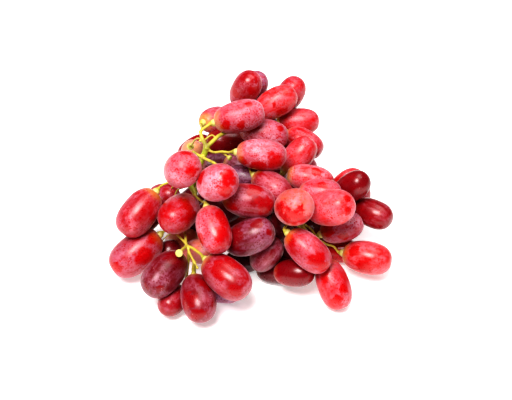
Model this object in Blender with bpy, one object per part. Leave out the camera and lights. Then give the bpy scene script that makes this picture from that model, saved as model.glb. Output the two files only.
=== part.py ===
"""A bunch of red table grapes lying on its side, and its green stalk.

Two solids are made: every berry fused into one, and the stalk with its side stems.
The berries of the near side were read one by one off the picture, in real millimetres.
The berries behind them follow a rule with a fixed seed.
Lengths are in metres. The table top is z = 0, x runs along the bunch and -y is its front.
"""
import math

import bmesh
import bpy
import numpy as np

MM = 0.001

# how the picture was taken: it turns a reading into a place on the table
VIEW_DISTANCE = 480 * MM
VIEW_ANGLE = math.radians(40)
AIM_HEIGHT = 38 * MM

# one berry
BERRY_RATIO = 1.5
BERRY_FULLNESS = 2.35
STEM_END_TAPER = 0.07
STEM_DIMPLE = 0.7 * MM
FACET_MAKE_UP = 1.04
AROUND = 9
BANDS = 6

# how berries lie against each other
CONTACT_RADIUS = 0.96
PRESS = 1.4 * MM
FUSED_PRESS = 1.15 * MM
FLOOR_PRESS = 0.45 * MM
REACH = 6 * MM
NEARLY_PRESSED = 0.8
DRAW_RATE = 0.02
PUSH_RATE = 0.3
PULL_EARLY = 0.004
PULL_LATE = 0.0008
SETTLE_ROUNDS = 1600
LATE_ROUND = 1280
SMALL_BERRY = 16.5 * MM
SMALL_GIVE = 2.8
LINK_RADIUS = 3 * MM

# the berries behind
HIDDEN_BERRIES = 48
TABLE_BERRIES = 12
HIDDEN_TRIES = 70
HIDDEN_WIDTH = 18 * MM
HIDDEN_SPREAD = 1.2 * MM
HIDDEN_RATIO = (1.45, 1.6)
HIDDEN_ACROSS = (-62 * MM, 62 * MM)
HIDDEN_UP = (-50 * MM, 60 * MM)
TURNED_AWAY = 0.3
TURN_AWAY = 1.2
LYING_FLAT = 0.3
HIDDEN_SEED = 15
DEEPEST = 120 * MM
NEAREST = 30 * MM
FURTHEST_BACK = 86 * MM
TABLE_BACK = 68 * MM
LOOSE_GAP = 9 * MM
TOUCH_GAP = 0.6 * MM
CONTACT_DEPTH = 0.2 * MM
CONTACT_WORTH = 2 * MM
STEP = 1.2 * MM
FINE_STEP = 0.1 * MM

# the stalk
CLEAR = 0.35 * MM
STEM_SIDES = 6
TWIG_SIDES = 5
TWIG_RADIUS = 0.85 * MM
TWIG_LONGEST = 34 * MM
TWIG_ELBOW = 4 * MM
TWIG_STARTS = 8
COLLAR_RADIUS = 2.1 * MM
COLLAR_LENGTH = 2.2 * MM
PUSH_ROUNDS = 40
PUSH_FROM = 0.02 * MM
PUSH_EXTRA = 0.05 * MM
WORST_END = 1.2 * MM
EASE = 0.05

# finish, as linear colour values
BERRY_COLOUR = (0.52, 0.05, 0.07)
BERRY_ROUGHNESS = 0.38
STALK_COLOUR = (0.42, 0.47, 0.08)
STALK_ROUGHNESS = 0.5

# name, across, up, width, direction of the blossom end, tip toward the eye, depth wanted
# the first three and the last are millimetres, the two between are degrees
# the list runs from the back of the picture to the front
SEEN_BERRIES = [
    ("top_back", -1.9, 59.9, 14.5, 60, 35, -44),
    ("crown_back", 18.3, 56.8, 14.9, 60, 40, -42),
    ("top", -5.7, 59.6, 15.5, 57, 40, -32),
    ("crown", 10.5, 52.5, 16.1, 28, 5, -24),
    ("right_high", 22.7, 42.3, 14.9, 0, 5, -32),
    ("right_second", 25.8, 31.0, 14.9, -30, 10, -28),
    ("right_third", 22.8, 19.0, 14.0, -20, 10, -30),
    ("left_high", -22.2, 43.4, 14.1, 22, -52, -26),
    ("far_right_small", 49.3, 8.2, 15.0, 40, 40, -14),
    ("far_right_dark", 52.0, 7.0, 15.7, 38, 50, 2),
    ("far_right_low", 63.0, -7.1, 15.6, -25, 25, -4),
    ("fork_dark", -15.6, 31.2, 15.5, 0, -10, -24),
    ("fork_outer", -32.8, 27.1, 14.2, 30, 20, -32),
    ("fork_left", -33.9, 25.4, 13.2, -75, -72, -18),
    ("dusky_left", -20.2, 18.8, 15.0, 0, -15, -16),
    ("dusky_right", -7.4, 17.2, 14.5, -25, 10, -16),
    ("dusky_low", -5.5, 12.0, 14.5, -10, 0, -10),
    ("under_crown", 4.3, 36.1, 16.1, -12, 0, -10),
    ("right_bright", 22.7, 23.9, 15.7, 48, 10, -8),
    ("upper_long", -9.1, 45.1, 17.6, 14, 0, -5),
    ("middle_long", 2.9, 24.6, 17.2, -5, 0, 5),
    ("right_shelf", 29.2, 11.5, 15.0, -12, 0, -8),
    ("right_shelf_low", 34.5, 3.8, 15.5, 0, 5, 2),
    ("middle_slanted", 8.5, 6.9, 16.5, -35, 20, 2),
    ("right_dark_low", 43.4, -26.7, 14.5, 0, 20, -16),
    ("right_speckled", 46.2, -15.0, 15.9, 18, 5, 2),
    ("low_dark_front", 10.8, -38.0, 14.5, 0, 20, -8),
    ("low_dark_right", 20.6, -39.3, 15.1, 0, 20, 2),
    ("hanging_right", 41.7, -45.5, 17.8, -70, 5, 8),
    ("outer_right", 59.9, -31.0, 18.0, -10, 15, -4),
    ("notch_dark", -7.8, -33.2, 12.6, 0, 10, -8),
    ("low_dark", 5.6, -29.4, 15.2, 50, 32, 4),
    ("right_coral", 40.3, -4.2, 20.0, 8, 48, 18),
    ("centre_wide", -3.9, -0.5, 18.8, -10, 0, 12),
    ("centre_purple", -3.7, -20.0, 19.4, 22, 14, 8),
    ("right_slanted", 27.9, -27.4, 18.2, -42, 5, 16),
    ("facing_peach", 20.4, -4.0, 20.5, 20, 78, 26),
    ("left_gap_small", -49.6, 2.8, 12.4, 0, 30, -18),
    ("left_shadow", -57.0, -9.0, 12.5, 230, 20, -16),
    ("left_inner", -39.8, -21.5, 14.0, 0, 40, -12),
    ("left_inner_low", -30.5, -27.7, 14.0, 0, 40, -6),
    ("left_between", -49.2, -29.6, 13.2, 40, 10, -12),
    ("front_low_left", -44.5, -54.1, 14.9, 230, 60, 16),
    ("front_low_blue", -17.6, -48.9, 14.0, 0, 20, 9),
    ("outer_left_low", -64.6, -28.5, 21.3, 218, 5, 8),
    ("front_purple", -49.3, -39.8, 20.2, 228, 35, 10),
    ("outer_left", -63.1, -6.8, 19.6, 232, 8, 0),
    ("front_lowest", -31.2, -52.8, 19.2, -74, 38, 24),
    ("front_large", -16.1, -41.3, 20.7, -38, 22, 20),
    ("front_upright", -22.9, -16.0, 18.4, -72, 20, 22),
    ("left_front", -41.4, -7.1, 19.8, 225, 58, 18),
    ("facing_pink", -21.0, 9.3, 20.3, 15, 62, 26),
    ("facing_left", -39.8, 16.4, 20.0, 25, 72, 20),
]

# berries longer for their width than the rest
LONG_BERRIES = {
    "crown": 1.56,
    "right_high": 1.55,
    "under_crown": 1.67,
    "upper_long": 1.6,
    "middle_long": 1.6,
    "right_shelf": 1.75,
    "centre_wide": 1.54,
    "hanging_right": 1.6,
    "right_slanted": 1.61,
}

# the part of the picture the bunch fills: across and up in millimetres, clockwise
FILLED_OUTLINE = [
    (-5.9, 60.8), (17.0, 58.0), (25.1, 43.2), (27.8, 32.4), (28.5, 21.6), (30.5, 12.2),
    (41.3, 2.7), (53.5, 5.4), (60.2, -6.8), (48.1, -16.2), (38.6, -21.6), (56.2, -31.0),
    (42.7, -32.4), (41.3, -45.9), (33.2, -36.5), (21.1, -41.9), (11.6, -40.5), (6.2, -32.4),
    (-5.9, -31.0), (-14.0, -43.2), (-30.2, -54.0), (-42.4, -55.4), (-50.5, -40.5),
    (-42.4, -27.0), (-42.4, -10.8), (-32.9, 2.7), (-39.7, 16.2), (-33.0, 28.0),
    (-24.8, 43.2), (-14.0, 48.0),
]

# dark gaps of the picture that a berry behind has to fill: across and up in millimetres
DARK_GAPS = [
    (-16.5, -5.0), (9.0, -12.5), (6.0, -33.0), (-6.5, -29.0), (-41.0, -36.0), (-32.0, -13.0),
    (-32.0, 1.0), (14.0, -20.0), (33.0, -18.5), (-30.5, -39.0),
]
GAP_SPREAD = 3 * MM

# places where the table shows through: across, up, radius in millimetres
SEE_THROUGH = [
    (-24.8, 23.9, 1.2),
    (-29.2, 35.6, 1.4),
    (-11.0, 34.7, 1.5),
    (12.2, 43.6, 0.8),
    (-45.4, 8.1, 2.0),
    (-42.1, 5.4, 1.5),
    (-51.8, -18.9, 2.6),
    (-53.0, -14.5, 1.5),
    (-46.8, -20.4, 1.2),
]

# the main stems: name, radius at each end, then across, up and depth of each point in millimetres
MAIN_STEMS = [
    ("to_fork", 2.1, 1.6, [(-33, 10, -5), (-31, 18, -3), (-28.2, 24, 0), (-26.7, 28.5, 2)]),
    ("crown", 1.2, 1.0, [(-26.7, 28.5, 2), (-22.3, 32.6, 0), (-18.8, 35.3, -4), (-8, 40, -18),
                         (2, 45, -28), (12, 47, -34)]),
    ("upper_left", 1.2, 0.95, [(-26.7, 28.5, 2), (-28.2, 31.6, 2), (-29.3, 34.0, 2), (-30, 37.0, 2)]),
    ("right", 1.9, 1.0, [(-33, 10, -5), (-10, 8, -8), (8, 2, -4), (21, -8.5, 2)]),
    ("lower_left", 1.9, 0.8, [(-33, 10, -5), (-35.2, 7.6, -2), (-33.2, 2.7, 1), (-36.5, -6, 1),
                              (-38.9, -16, 4)]),
    ("lower_fan", 0.75, 0.65, [(-38.9, -16, 4), (-38.1, -20.3, 8), (-37.4, -24.4, 12),
                               (-35.6, -29.3, 15), (-33.4, -33.3, 18)]),
    ("peduncle", 2.1, 2.3, [(-33, 10, -5), (-31, 11, -22), (-29, 14, -44), (-27, 19, -64)]),
]

# side stems that the picture shows: berry, radius, depth at the start, then across and up of points
SEEN_TWIGS = [
    ("upper_long", 0.9, 2, [(-30.0, 36.8), (-28.5, 38.5), (-25.7, 40.3)]),
    ("left_high", 0.7, 2, [(-30.0, 36.8), (-29.4, 38.8)]),
    ("fork_left", 0.6, 2, [(-28.9, 32.9), (-31.4, 33.3), (-33.5, 32.0), (-34.5, 30.0)]),
    ("middle_long", 0.75, 1, [(-26.0, 27.2), (-22.6, 25.7), (-18.5, 26.1), (-14.9, 25.7)]),
    ("facing_pink", 0.85, -1, [(-34.2, 26.0), (-28.9, 23.0), (-25.4, 21.3), (-21.9, 19.4), (-20.3, 16.5)]),
    ("middle_slanted", 0.6, -8, [(-6.8, 14.6), (-4.1, 13.9)]),
    ("front_upright", 0.7, 1, [(-33.2, 2.7), (-31.4, 0.9), (-28.9, -0.9)]),
    ("outer_left", 0.7, -2, [(-36.0, 9.0), (-44.0, 9.8), (-49.0, 8.8), (-51.6, 7.3)]),
    ("left_gap_small", 0.55, -2, [(-36.0, 9.0), (-43.4, 8.3), (-45.6, 6.0), (-46.6, 4.2)]),
    ("outer_left_low", 0.65, 12, [(-37.6, -24.0), (-40.5, -20.8), (-43.3, -18.2), (-47.0, -16.4)]),
    ("front_large", 0.85, 12, [(-37.4, -24.8), (-34.6, -25.8), (-32.0, -27.6), (-29.6, -29.4)]),
    ("front_lowest", 0.6, 18, [(-33.4, -33.3), (-34.0, -35.4), (-34.3, -37.6)]),
    ("right_slanted", 0.7, 2, [(20.5, -8.8), (17.5, -12.2)]),
    ("outer_right", 0.65, 2, [(21.0, -8.5), (25.4, -12.6), (30.0, -15.8), (33.8, -21.6), (38.6, -22.6),
                              (42.0, -25.0)]),
]

# stems with no berry: radius, radius at the end, then across, up and depth of each point
EMPTY_STEMS = [
    (0.85, 2.0, [(-37.5, -24.8, 12), (-38.9, -26.0, 16), (-40.4, -27.5, 21), (-41.7, -29.0, 26)]),
    (0.6, 1.5, [(-18.9, 26.0, 3), (-16.2, 24.2, 4), (-13.7, 22.4, 6)]),
    (0.5, 0.8, [(-33.4, -33.6, 18), (-32.5, -34.8, 18.5), (-31.4, -37.3, 19)]),
    (0.5, 0.8, [(-29.2, 33.4, 2), (-30.6, 31.4, 2)]),
    (0.5, 0.6, [(-21.5, 33.4, 0), (-23.6, 35.0, 0), (-26.2, 33.7, 0), (-28.2, 31.8, 1.5)]),
    (0.5, 0.5, [(-35.6, 7.8, -2), (-39.4, 6.6, -1), (-42.4, 5.4, -1), (-43.9, 2.2, -2)]),
    (0.4, 0.4, [(-43.3, -18.2, 6), (-46.3, -18.4, 0), (-49.2, -20.4, -3), (-51.5, -23.0, -5)]),
]

RIGHT = np.array([1.0, 0.0, 0.0])
UP = np.array([0.0, math.sin(VIEW_ANGLE), math.cos(VIEW_ANGLE)])
NEAR = np.array([0.0, -math.cos(VIEW_ANGLE), math.sin(VIEW_ANGLE)])
AIM = np.array([0.0, 0.0, AIM_HEIGHT])


def from_picture(across, up, depth):
    """Table point of a picture reading at a depth; nearer things are smaller than they look."""
    scale = (VIEW_DISTANCE - depth) / VIEW_DISTANCE
    return AIM + across * scale * RIGHT + up * scale * UP + depth * NEAR


def to_picture(points):
    """Where table points are seen: across and up."""
    rel = points - AIM
    depth = rel @ NEAR
    scale = VIEW_DISTANCE / (VIEW_DISTANCE - depth)
    return np.stack([(rel @ RIGHT) * scale, (rel @ UP) * scale], axis=-1)


def rod_gap(mid, axis, half, mids, axes, halves):
    """Nearest points of the centre lines of rods, as places along each, and the way between them."""
    apart = mid - mids
    along = (axis * axes).sum(-1)
    first = (apart * axis).sum(-1)
    second = (apart * axes).sum(-1)
    spread = np.maximum(1 - along * along, 1e-6)
    at = np.clip((along * second - first) / spread, -half, half)
    for _ in range(3):
        to = np.clip(along * at + second, -halves, halves)
        at = np.clip(along * to - first, -half, half)
    return at, to, apart + at[..., None] * axis - to[..., None] * axes


def rod_distance(mid, axis, half, mids, axes, halves):
    """Distance between the centre lines of rods, pair by pair."""
    gap = rod_gap(mid, axis, half, mids, axes, halves)[2]
    return np.sqrt((gap * gap).sum(-1))


class Heap:
    """The berries laid so far, each a rod with round ends for touching."""

    def __init__(self):
        self.names = []
        self.mid = np.zeros((0, 3))
        self.axis = np.zeros((0, 3))
        self.radius = np.zeros(0)
        self.full = np.zeros(0)

    def add(self, name, mid, axis, radius, full):
        self.names.append(name)
        self.mid = np.vstack([self.mid, mid])
        self.axis = np.vstack([self.axis, axis])
        self.radius = np.append(self.radius, radius)
        self.full = np.append(self.full, full)

    @property
    def round(self):
        return self.radius * CONTACT_RADIUS

    @property
    def half(self):
        return self.full - self.round

    def overlap(self, mid, axis, radius, full):
        """How deep a berry at each of several places sinks into each berry of the heap."""
        touch = radius * CONTACT_RADIUS
        half = np.full(len(mid), full - touch)[:, None]
        far = rod_distance(mid[:, None], axis, half, self.mid[None], self.axis[None], self.half[None])
        return touch + self.round[None] - far


def closer_to_neighbour(sunk, back, front, count):
    """A berry that presses on none moves a little toward the nearest one before or behind it."""
    nearest = np.full(count, -1.0)
    side = np.zeros(count)
    for mine, sign in ((back, 1.0), (front, -1.0)):
        order = np.argsort(sunk)
        better = np.full(count, -1.0)
        better[mine[order]] = sunk[order]
        side = np.where(better > nearest, sign, side)
        nearest = np.maximum(better, nearest)
    loose = (nearest < NEARLY_PRESSED * PRESS) & (nearest > -REACH)
    return np.where(loose, side * DRAW_RATE * (PRESS - nearest), 0.0)


def lay_seen_berries():
    """Depths settle: each berry is drawn to the depth wanted and pushed off those it meets."""
    table = SEEN_BERRIES
    across = np.array([row[1] for row in table]) * MM
    up = np.array([row[2] for row in table]) * MM
    width = np.array([row[3] for row in table]) * MM
    turn = np.radians([row[4] for row in table])
    tip = np.radians([row[5] for row in table])
    wanted = np.array([row[6] for row in table]) * MM
    ratio = np.array([LONG_BERRIES.get(row[0], BERRY_RATIO) for row in table])
    flat = np.cos(turn)[:, None] * RIGHT + np.sin(turn)[:, None] * UP
    axis = np.cos(tip)[:, None] * flat + np.sin(tip)[:, None] * NEAR
    back, front = np.triu_indices(len(table), 1)
    give = np.where(width > SMALL_BERRY, 1.0, SMALL_GIVE)
    share = give[back] / (give[back] + give[front])
    depth = wanted.copy()
    for turn_number in range(SETTLE_ROUNDS + 1):
        scale = (VIEW_DISTANCE - depth) / VIEW_DISTANCE
        mid = AIM + (across * scale)[:, None] * RIGHT + (up * scale)[:, None] * UP + depth[:, None] * NEAR
        radius = width / 2 * scale
        full = radius * ratio
        touch = radius * CONTACT_RADIUS
        half = full - touch
        if turn_number == SETTLE_ROUNDS:
            break
        far = rod_distance(mid[back], axis[back], half[back], mid[front], axis[front], half[front])
        sunk = np.maximum(touch[back] + touch[front] - PRESS - far, 0)
        move = np.zeros(len(table))
        np.add.at(move, back, -PUSH_RATE * sunk * share)
        np.add.at(move, front, PUSH_RATE * sunk * (1 - share))
        move += closer_to_neighbour(touch[back] + touch[front] - far, back, front, len(table))
        pull = PULL_EARLY if turn_number < LATE_ROUND else PULL_LATE
        depth = depth + move + pull * (wanted - depth)
        lowest = mid[:, 2] - half * abs(axis[:, 2]) - touch
        depth = depth + np.maximum(-FLOOR_PRESS - lowest, 0) / NEAR[2]
    heap = Heap()
    for row, place, line, size, length in zip(table, mid, axis, radius, full):
        heap.add(row[0], place, line, size, length)
    return heap


def main_stem_paths():
    """Table points and radii of the main stems."""
    paths = []
    for name, start, end, points in MAIN_STEMS:
        corners = np.array([from_picture(a * MM, u * MM, d * MM) for a, u, d in points])
        line = smooth_line(corners, 4)
        radii = np.linspace(start, end, len(line)) * MM
        paths.append((name, line, radii))
    return paths


def smooth_line(corners, steps):
    """Curve through the given points."""
    ends = np.vstack([2 * corners[0] - corners[1], corners, 2 * corners[-1] - corners[-2]])
    line = []
    for i in range(1, len(ends) - 2):
        for step in range(steps):
            t = step / steps
            before, start, stop, after = ends[i - 1:i + 3]
            line.append(0.5 * (2 * start + (stop - before) * t
                               + (2 * before - 5 * start + 4 * stop - after) * t * t
                               + (3 * start - before - 3 * stop + after) * t ** 3))
    line.append(corners[-1])
    return np.array(line)


def inside_outline(points, outline):
    """Which picture points lie inside the closed outline."""
    inside = np.zeros(len(points), dtype=bool)
    last = outline[-1]
    for corner in outline:
        crosses = (corner[1] > points[:, 1]) != (last[1] > points[:, 1])
        rise = last[1] - corner[1] if last[1] != corner[1] else 1e-9
        where = (last[0] - corner[0]) * (points[:, 1] - corner[1]) / rise + corner[0]
        inside ^= crosses & (points[:, 0] < where)
        last = corner
    return inside


def berry_rim(mid, axis, radius, full):
    """Points on the skin of a berry, enough to tell where it is seen."""
    side = np.cross(axis, [0.3, 0.5, 0.81])
    side = side / np.linalg.norm(side)
    other = np.cross(axis, side)
    points = [mid + axis * full, mid - axis * full]
    for place, size in ((-0.75, 0.72), (-0.3, 0.97), (0.3, 0.97), (0.75, 0.72)):
        for step in range(10):
            angle = 2 * math.pi * step / 10
            points.append(mid + axis * full * place
                          + radius * size * (math.cos(angle) * side + math.sin(angle) * other))
    return np.array(points)


def stays_hidden(heap, seen, mid, axis, radius, full):
    """A berry behind may show only where the bunch of the picture has berries."""
    spots = to_picture(berry_rim(mid, axis, radius, full)) / MM
    for across, up, open_radius in SEE_THROUGH:
        centre = to_picture(mid[None])[0] / MM
        if np.hypot(*(spots - [across, up]).T).min() < open_radius:
            return False
        if np.hypot(*(centre - [across, up])) < open_radius + radius / MM * 0.9:
            return False
    allowed = inside_outline(spots, FILLED_OUTLINE)
    if allowed.all():
        return True
    for i in range(seen):
        ends = to_picture(np.array([heap.mid[i] - heap.axis[i] * heap.half[i],
                                    heap.mid[i] + heap.axis[i] * heap.half[i]])) / MM
        look = VIEW_DISTANCE / (VIEW_DISTANCE - (heap.mid[i] - AIM) @ NEAR)
        line = ends[1] - ends[0]
        size = max(line @ line, 1e-6)
        at = np.clip((spots - ends[0]) @ line / size, 0, 1)
        far = np.hypot(*(spots - ends[0] - at[:, None] * line).T)
        allowed |= far < heap.radius[i] / MM * look
    return allowed.all()


def blocked_places(heap, stem_points, stem_radii, mids, axis, radius, full):
    """Which places a berry can't take, and how deep it sinks into the others there."""
    sunk = heap.overlap(mids, axis, radius, full)
    touch = radius * CONTACT_RADIUS
    steps = np.linspace(-1, 1, 5)[None, :, None] * (full - touch) * axis
    rods = mids[:, None, None, :] + steps[:, :, None, :]
    stem_gap = np.linalg.norm(rods - stem_points, axis=-1) - stem_radii - touch - CLEAR
    low = mids[:, 2] - (full - touch) * abs(axis[2]) - touch
    blocked = (sunk.max(1) > PRESS) | (stem_gap.min((1, 2)) < 0) | (low < -FLOOR_PRESS - 0.01 * MM)
    return blocked, sunk


def lay_hidden_berries(heap, stems):
    """Berries that fit behind the seen ones and touch them, the best of a few tries kept."""
    draw = np.random.default_rng(HIDDEN_SEED)
    seen = len(heap.names)
    spine = np.vstack([line for name, line, radii in stems if name != "peduncle"])
    stem_points = np.vstack([line for name, line, radii in stems])
    stem_radii = np.concatenate([radii for name, line, radii in stems])
    coarse = np.arange(-DEEPEST, NEAREST, STEP)
    for number in range(HIDDEN_BERRIES):
        on_table = len(DARK_GAPS) <= number < len(DARK_GAPS) + TABLE_BERRIES
        best = None
        for _ in range(HIDDEN_TRIES):
            if number < len(DARK_GAPS):
                across, up = np.array(DARK_GAPS[number]) * MM + draw.uniform(-1, 1, 2) * GAP_SPREAD
            else:
                across = draw.uniform(*HIDDEN_ACROSS)
                up = draw.uniform(*HIDDEN_UP)
            axis = draw.normal(0, 1, 3)
            axis = axis - NEAR * max(axis @ NEAR, -TURNED_AWAY) * TURN_AWAY
            if on_table:
                axis[2] = axis[2] * LYING_FLAT
            axis = axis / np.linalg.norm(axis)
            radius = (HIDDEN_WIDTH + draw.uniform(-1, 1) * HIDDEN_SPREAD) / 2
            full = radius * draw.uniform(*HIDDEN_RATIO)
            touch = radius * CONTACT_RADIUS
            size = (axis, radius, full)
            if on_table:
                height = (full - touch) * abs(axis[2]) + touch - FLOOR_PRESS
                depth = depth_at_height(up, height)
                depths = np.arange(depth, NEAREST, STEP)
            else:
                depths = coarse
            mids = from_picture(across, up, depths[:, None])
            if on_table and mids[0, 1] > TABLE_BACK:
                continue
            blocked, sunk = blocked_places(heap, stem_points, stem_radii, mids, *size)
            in_front = sunk[:, :seen].max(1) > PRESS
            if not in_front.any():
                continue
            if on_table:
                if blocked[0] or sunk[0].max() < -LOOSE_GAP:
                    continue
                place = mids[0]
                touching = sunk[0]
            else:
                blocked = blocked[:int(np.argmax(in_front)) + 1]
                usable = ~blocked[:-1] & (mids[:len(blocked) - 1, 1] < FURTHEST_BACK)
                after = np.flatnonzero(usable & blocked[1:])
                if len(after) == 0:
                    continue
                nearness = [np.linalg.norm(spine - mids[k], axis=1).min() for k in after]
                start = depths[after[int(np.argmin(nearness))]]
                fine = from_picture(across, up, np.arange(start, start + STEP, FINE_STEP)[:, None])
                blocked, sunk = blocked_places(heap, stem_points, stem_radii, fine, *size)
                stop = int(np.argmax(blocked)) - 1 if blocked.any() else len(fine) - 1
                place = fine[max(stop, 0)]
                touching = sunk[max(stop, 0)]
            if not stays_hidden(heap, seen, place, *size):
                continue
            contacts = int((touching > CONTACT_DEPTH).sum())
            score = np.linalg.norm(spine - place, axis=1).min() - contacts * CONTACT_WORTH
            if best is None or score < best[0]:
                best = (score, place, *size)
        if best is not None:
            heap.add("hidden_%d" % number, *best[1:])
    drop_loose_berries(heap, seen)
    return seen


def drop_loose_berries(heap, seen):
    """Leaves out the berries behind that touch fewer than two others."""
    contacts = (heap_overlaps(heap) > -TOUCH_GAP).sum(1)
    keep = (np.arange(len(heap.names)) < seen) | (contacts > 1)
    heap.names = [name for name, stays in zip(heap.names, keep) if stays]
    heap.mid = heap.mid[keep]
    heap.axis = heap.axis[keep]
    heap.radius = heap.radius[keep]
    heap.full = heap.full[keep]


def heap_overlaps(heap):
    """How deep each berry of the heap sinks into each other one."""
    count = len(heap.names)
    i, j = np.triu_indices(count, 1)
    far = rod_distance(heap.mid[i], heap.axis[i], heap.half[i], heap.mid[j], heap.axis[j], heap.half[j])
    sunk = np.full((count, count), -1.0)
    sunk[i, j] = heap.round[i] + heap.round[j] - far
    sunk[j, i] = sunk[i, j]
    return sunk


def depth_at_height(up, height):
    """How far back the line of sight of a picture point meets a height over the table."""
    rise = UP[2] * up
    return (height - AIM_HEIGHT - rise) / (NEAR[2] - rise / VIEW_DISTANCE)


def berry_profile(t):
    """Width of a berry along its length, from -1 at the stem end to 1 at the blossom end."""
    body = (1 - abs(t) ** BERRY_FULLNESS) ** (1 / BERRY_FULLNESS)
    return body * (1 + STEM_END_TAPER * (t - 0.3) * 0.5)


def turned_frame(axis):
    """Two directions square to the axis."""
    side = np.cross(axis, [0.31, 0.17, 0.94])
    side = side / np.linalg.norm(side)
    return side, np.cross(axis, side)


def add_mesh(name, points, faces):
    mesh = bpy.data.meshes.new(name)
    mesh.from_pydata([tuple(p) for p in points], [], faces)
    mesh.update()
    thing = bpy.data.objects.new(name, mesh)
    return thing


def berry_points(mid, axis, radius, full, around, bands):
    side, other = turned_frame(axis)
    points = [mid - axis * (full - STEM_DIMPLE)]
    for band in range(1, bands):
        angle = math.pi * band / bands
        t = -math.cos(angle)
        wide = radius * berry_profile(t) * FACET_MAKE_UP
        for step in range(around):
            turn = 2 * math.pi * (step + 0.5 * (band % 2)) / around
            points.append(mid + axis * full * t + wide * (math.cos(turn) * side + math.sin(turn) * other))
    points.append(mid + axis * full)
    return points


def tube_faces(around, rings):
    """Faces of a closed tube: a point, rings of points, a point."""
    faces = []
    last = 1 + around * rings
    for step in range(around):
        after = (step + 1) % around
        faces.append((0, 1 + after, 1 + step))
        for ring in range(rings - 1):
            low = 1 + ring * around
            high = low + around
            faces.append((low + step, low + after, high + after))
            faces.append((low + step, high + after, high + step))
        top = 1 + (rings - 1) * around
        faces.append((top + step, top + after, last))
    return faces


def tube_points(line, radii, around):
    points = [line[0]]
    tangent = line[1] - line[0]
    side, other = turned_frame(tangent / np.linalg.norm(tangent))
    for i, spot in enumerate(line):
        ahead = line[min(i + 1, len(line) - 1)] - line[max(i - 1, 0)]
        ahead = ahead / np.linalg.norm(ahead)
        side = side - ahead * (side @ ahead)
        side = side / np.linalg.norm(side)
        other = np.cross(ahead, side)
        for step in range(around):
            turn = 2 * math.pi * step / around
            points.append(spot + radii[i] * (math.cos(turn) * side + math.sin(turn) * other))
    points.append(line[-1])
    return points


def link_loose_groups(heap):
    """Rods between groups of berries that don't touch, so that the fused body is one piece."""
    count = len(heap.names)
    sunk = heap_overlaps(heap)
    group = np.arange(count)
    links = []
    joined = sunk > FUSED_PRESS
    while True:
        for i, j in zip(*np.where(joined)):
            low, high = sorted((group[i], group[j]))
            group[group == high] = low
        if (group == 0).all():
            return links
        outside = group != 0
        between = np.where(outside[:, None] & ~outside[None, :], sunk, -1)
        i, j = np.unravel_index(between.argmax(), between.shape)
        links.append((i, j))
        joined[i, j] = True


def collar_of(heap, i):
    """Stem end of a berry, and the point where its side stem widens to meet it."""
    stem_end = heap.mid[i] - heap.axis[i] * heap.full[i]
    return stem_end, stem_end - heap.axis[i] * (COLLAR_LENGTH + CLEAR)


def end_at_berry(heap, i, line, radius):
    """A side stem's points and radii, from its line up to the collar on the berry's end."""
    stem_end, collar = collar_of(heap, i)
    points = np.vstack([line, stem_end - heap.axis[i] * CLEAR])
    radii = np.full(len(points), radius)
    radii[-1] = COLLAR_RADIUS
    return points, radii


def seen_twigs(heap):
    """Side stems read off the picture, each led to its berry's stem end."""
    twigs = {}
    for name, radius, start_depth, places in SEEN_TWIGS:
        i = heap.names.index(name)
        collar = collar_of(heap, i)[1]
        end_depth = (collar - AIM) @ NEAR / MM
        corners = []
        for k, (across, up) in enumerate(places):
            depth = start_depth + (end_depth - start_depth) * k / len(places)
            corners.append(from_picture(across * MM, up * MM, depth * MM))
        line = smooth_line(np.array(corners + [collar]), 3)
        clear = push_clear(line, heap, radius * MM + CLEAR)
        twigs[i] = end_at_berry(heap, i, line if clear is None else clear, radius * MM)
    return twigs


def empty_stems():
    """Side stems that have lost their berry; each ends in the small knob that held it."""
    twigs = []
    for radius, end_radius, places in EMPTY_STEMS:
        line = smooth_line(np.array([from_picture(a * MM, u * MM, d * MM) for a, u, d in places]), 3)
        radii = np.full(len(line), radius * MM)
        radii[-2:] = end_radius * MM
        twigs.append((line, radii))
    return twigs


def route_twigs(heap, stems):
    """A side stem to each berry: as seen, or else from the nearest main stem, clear of the berries."""
    starts = []
    for name, line, radii in stems:
        if name == "peduncle":
            line = line[:6]
        starts.extend(line)
    starts = np.array(starts)
    seen = seen_twigs(heap)
    twigs = list(seen.values()) + empty_stems()
    steps = np.linspace(0, 1, 5)[:, None]
    for i in range(len(heap.names)):
        if i in seen:
            continue
        collar = collar_of(heap, i)[1]
        elbow = collar - heap.axis[i] * TWIG_ELBOW
        order = np.argsort(np.linalg.norm(starts - elbow, axis=1))[:TWIG_STARTS]
        for start in starts[order]:
            if np.linalg.norm(start - collar) > TWIG_LONGEST:
                continue
            line = (1 - steps) ** 2 * start + 2 * steps * (1 - steps) * elbow + steps ** 2 * collar
            line = push_clear(line, heap, TWIG_RADIUS + CLEAR)
            if line is not None and not shows(heap, line):
                twigs.append(end_at_berry(heap, i, line, TWIG_RADIUS))
                break
    return twigs


def shows(heap, line):
    """Whether a side stem would be seen in the picture, in front of or beside the berries."""
    places = to_picture(line)
    depth = (line - AIM) @ NEAR
    ends = to_picture(np.vstack([heap.mid - heap.axis * heap.half[:, None],
                                 heap.mid + heap.axis * heap.half[:, None]])).reshape(2, -1, 2)
    berry_depth = (heap.mid - AIM) @ NEAR
    way = ends[1] - ends[0]
    size = np.maximum((way * way).sum(1), 1e-12)
    at = np.clip(((places[:, None] - ends[0]) * way).sum(-1) / size, 0, 1)
    far = np.linalg.norm(places[:, None] - ends[0] - at[..., None] * way, axis=-1)
    covered = (far < heap.radius * 0.97) & (berry_depth > depth[:, None])
    return (~covered.any(1)).sum() > 1


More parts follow.
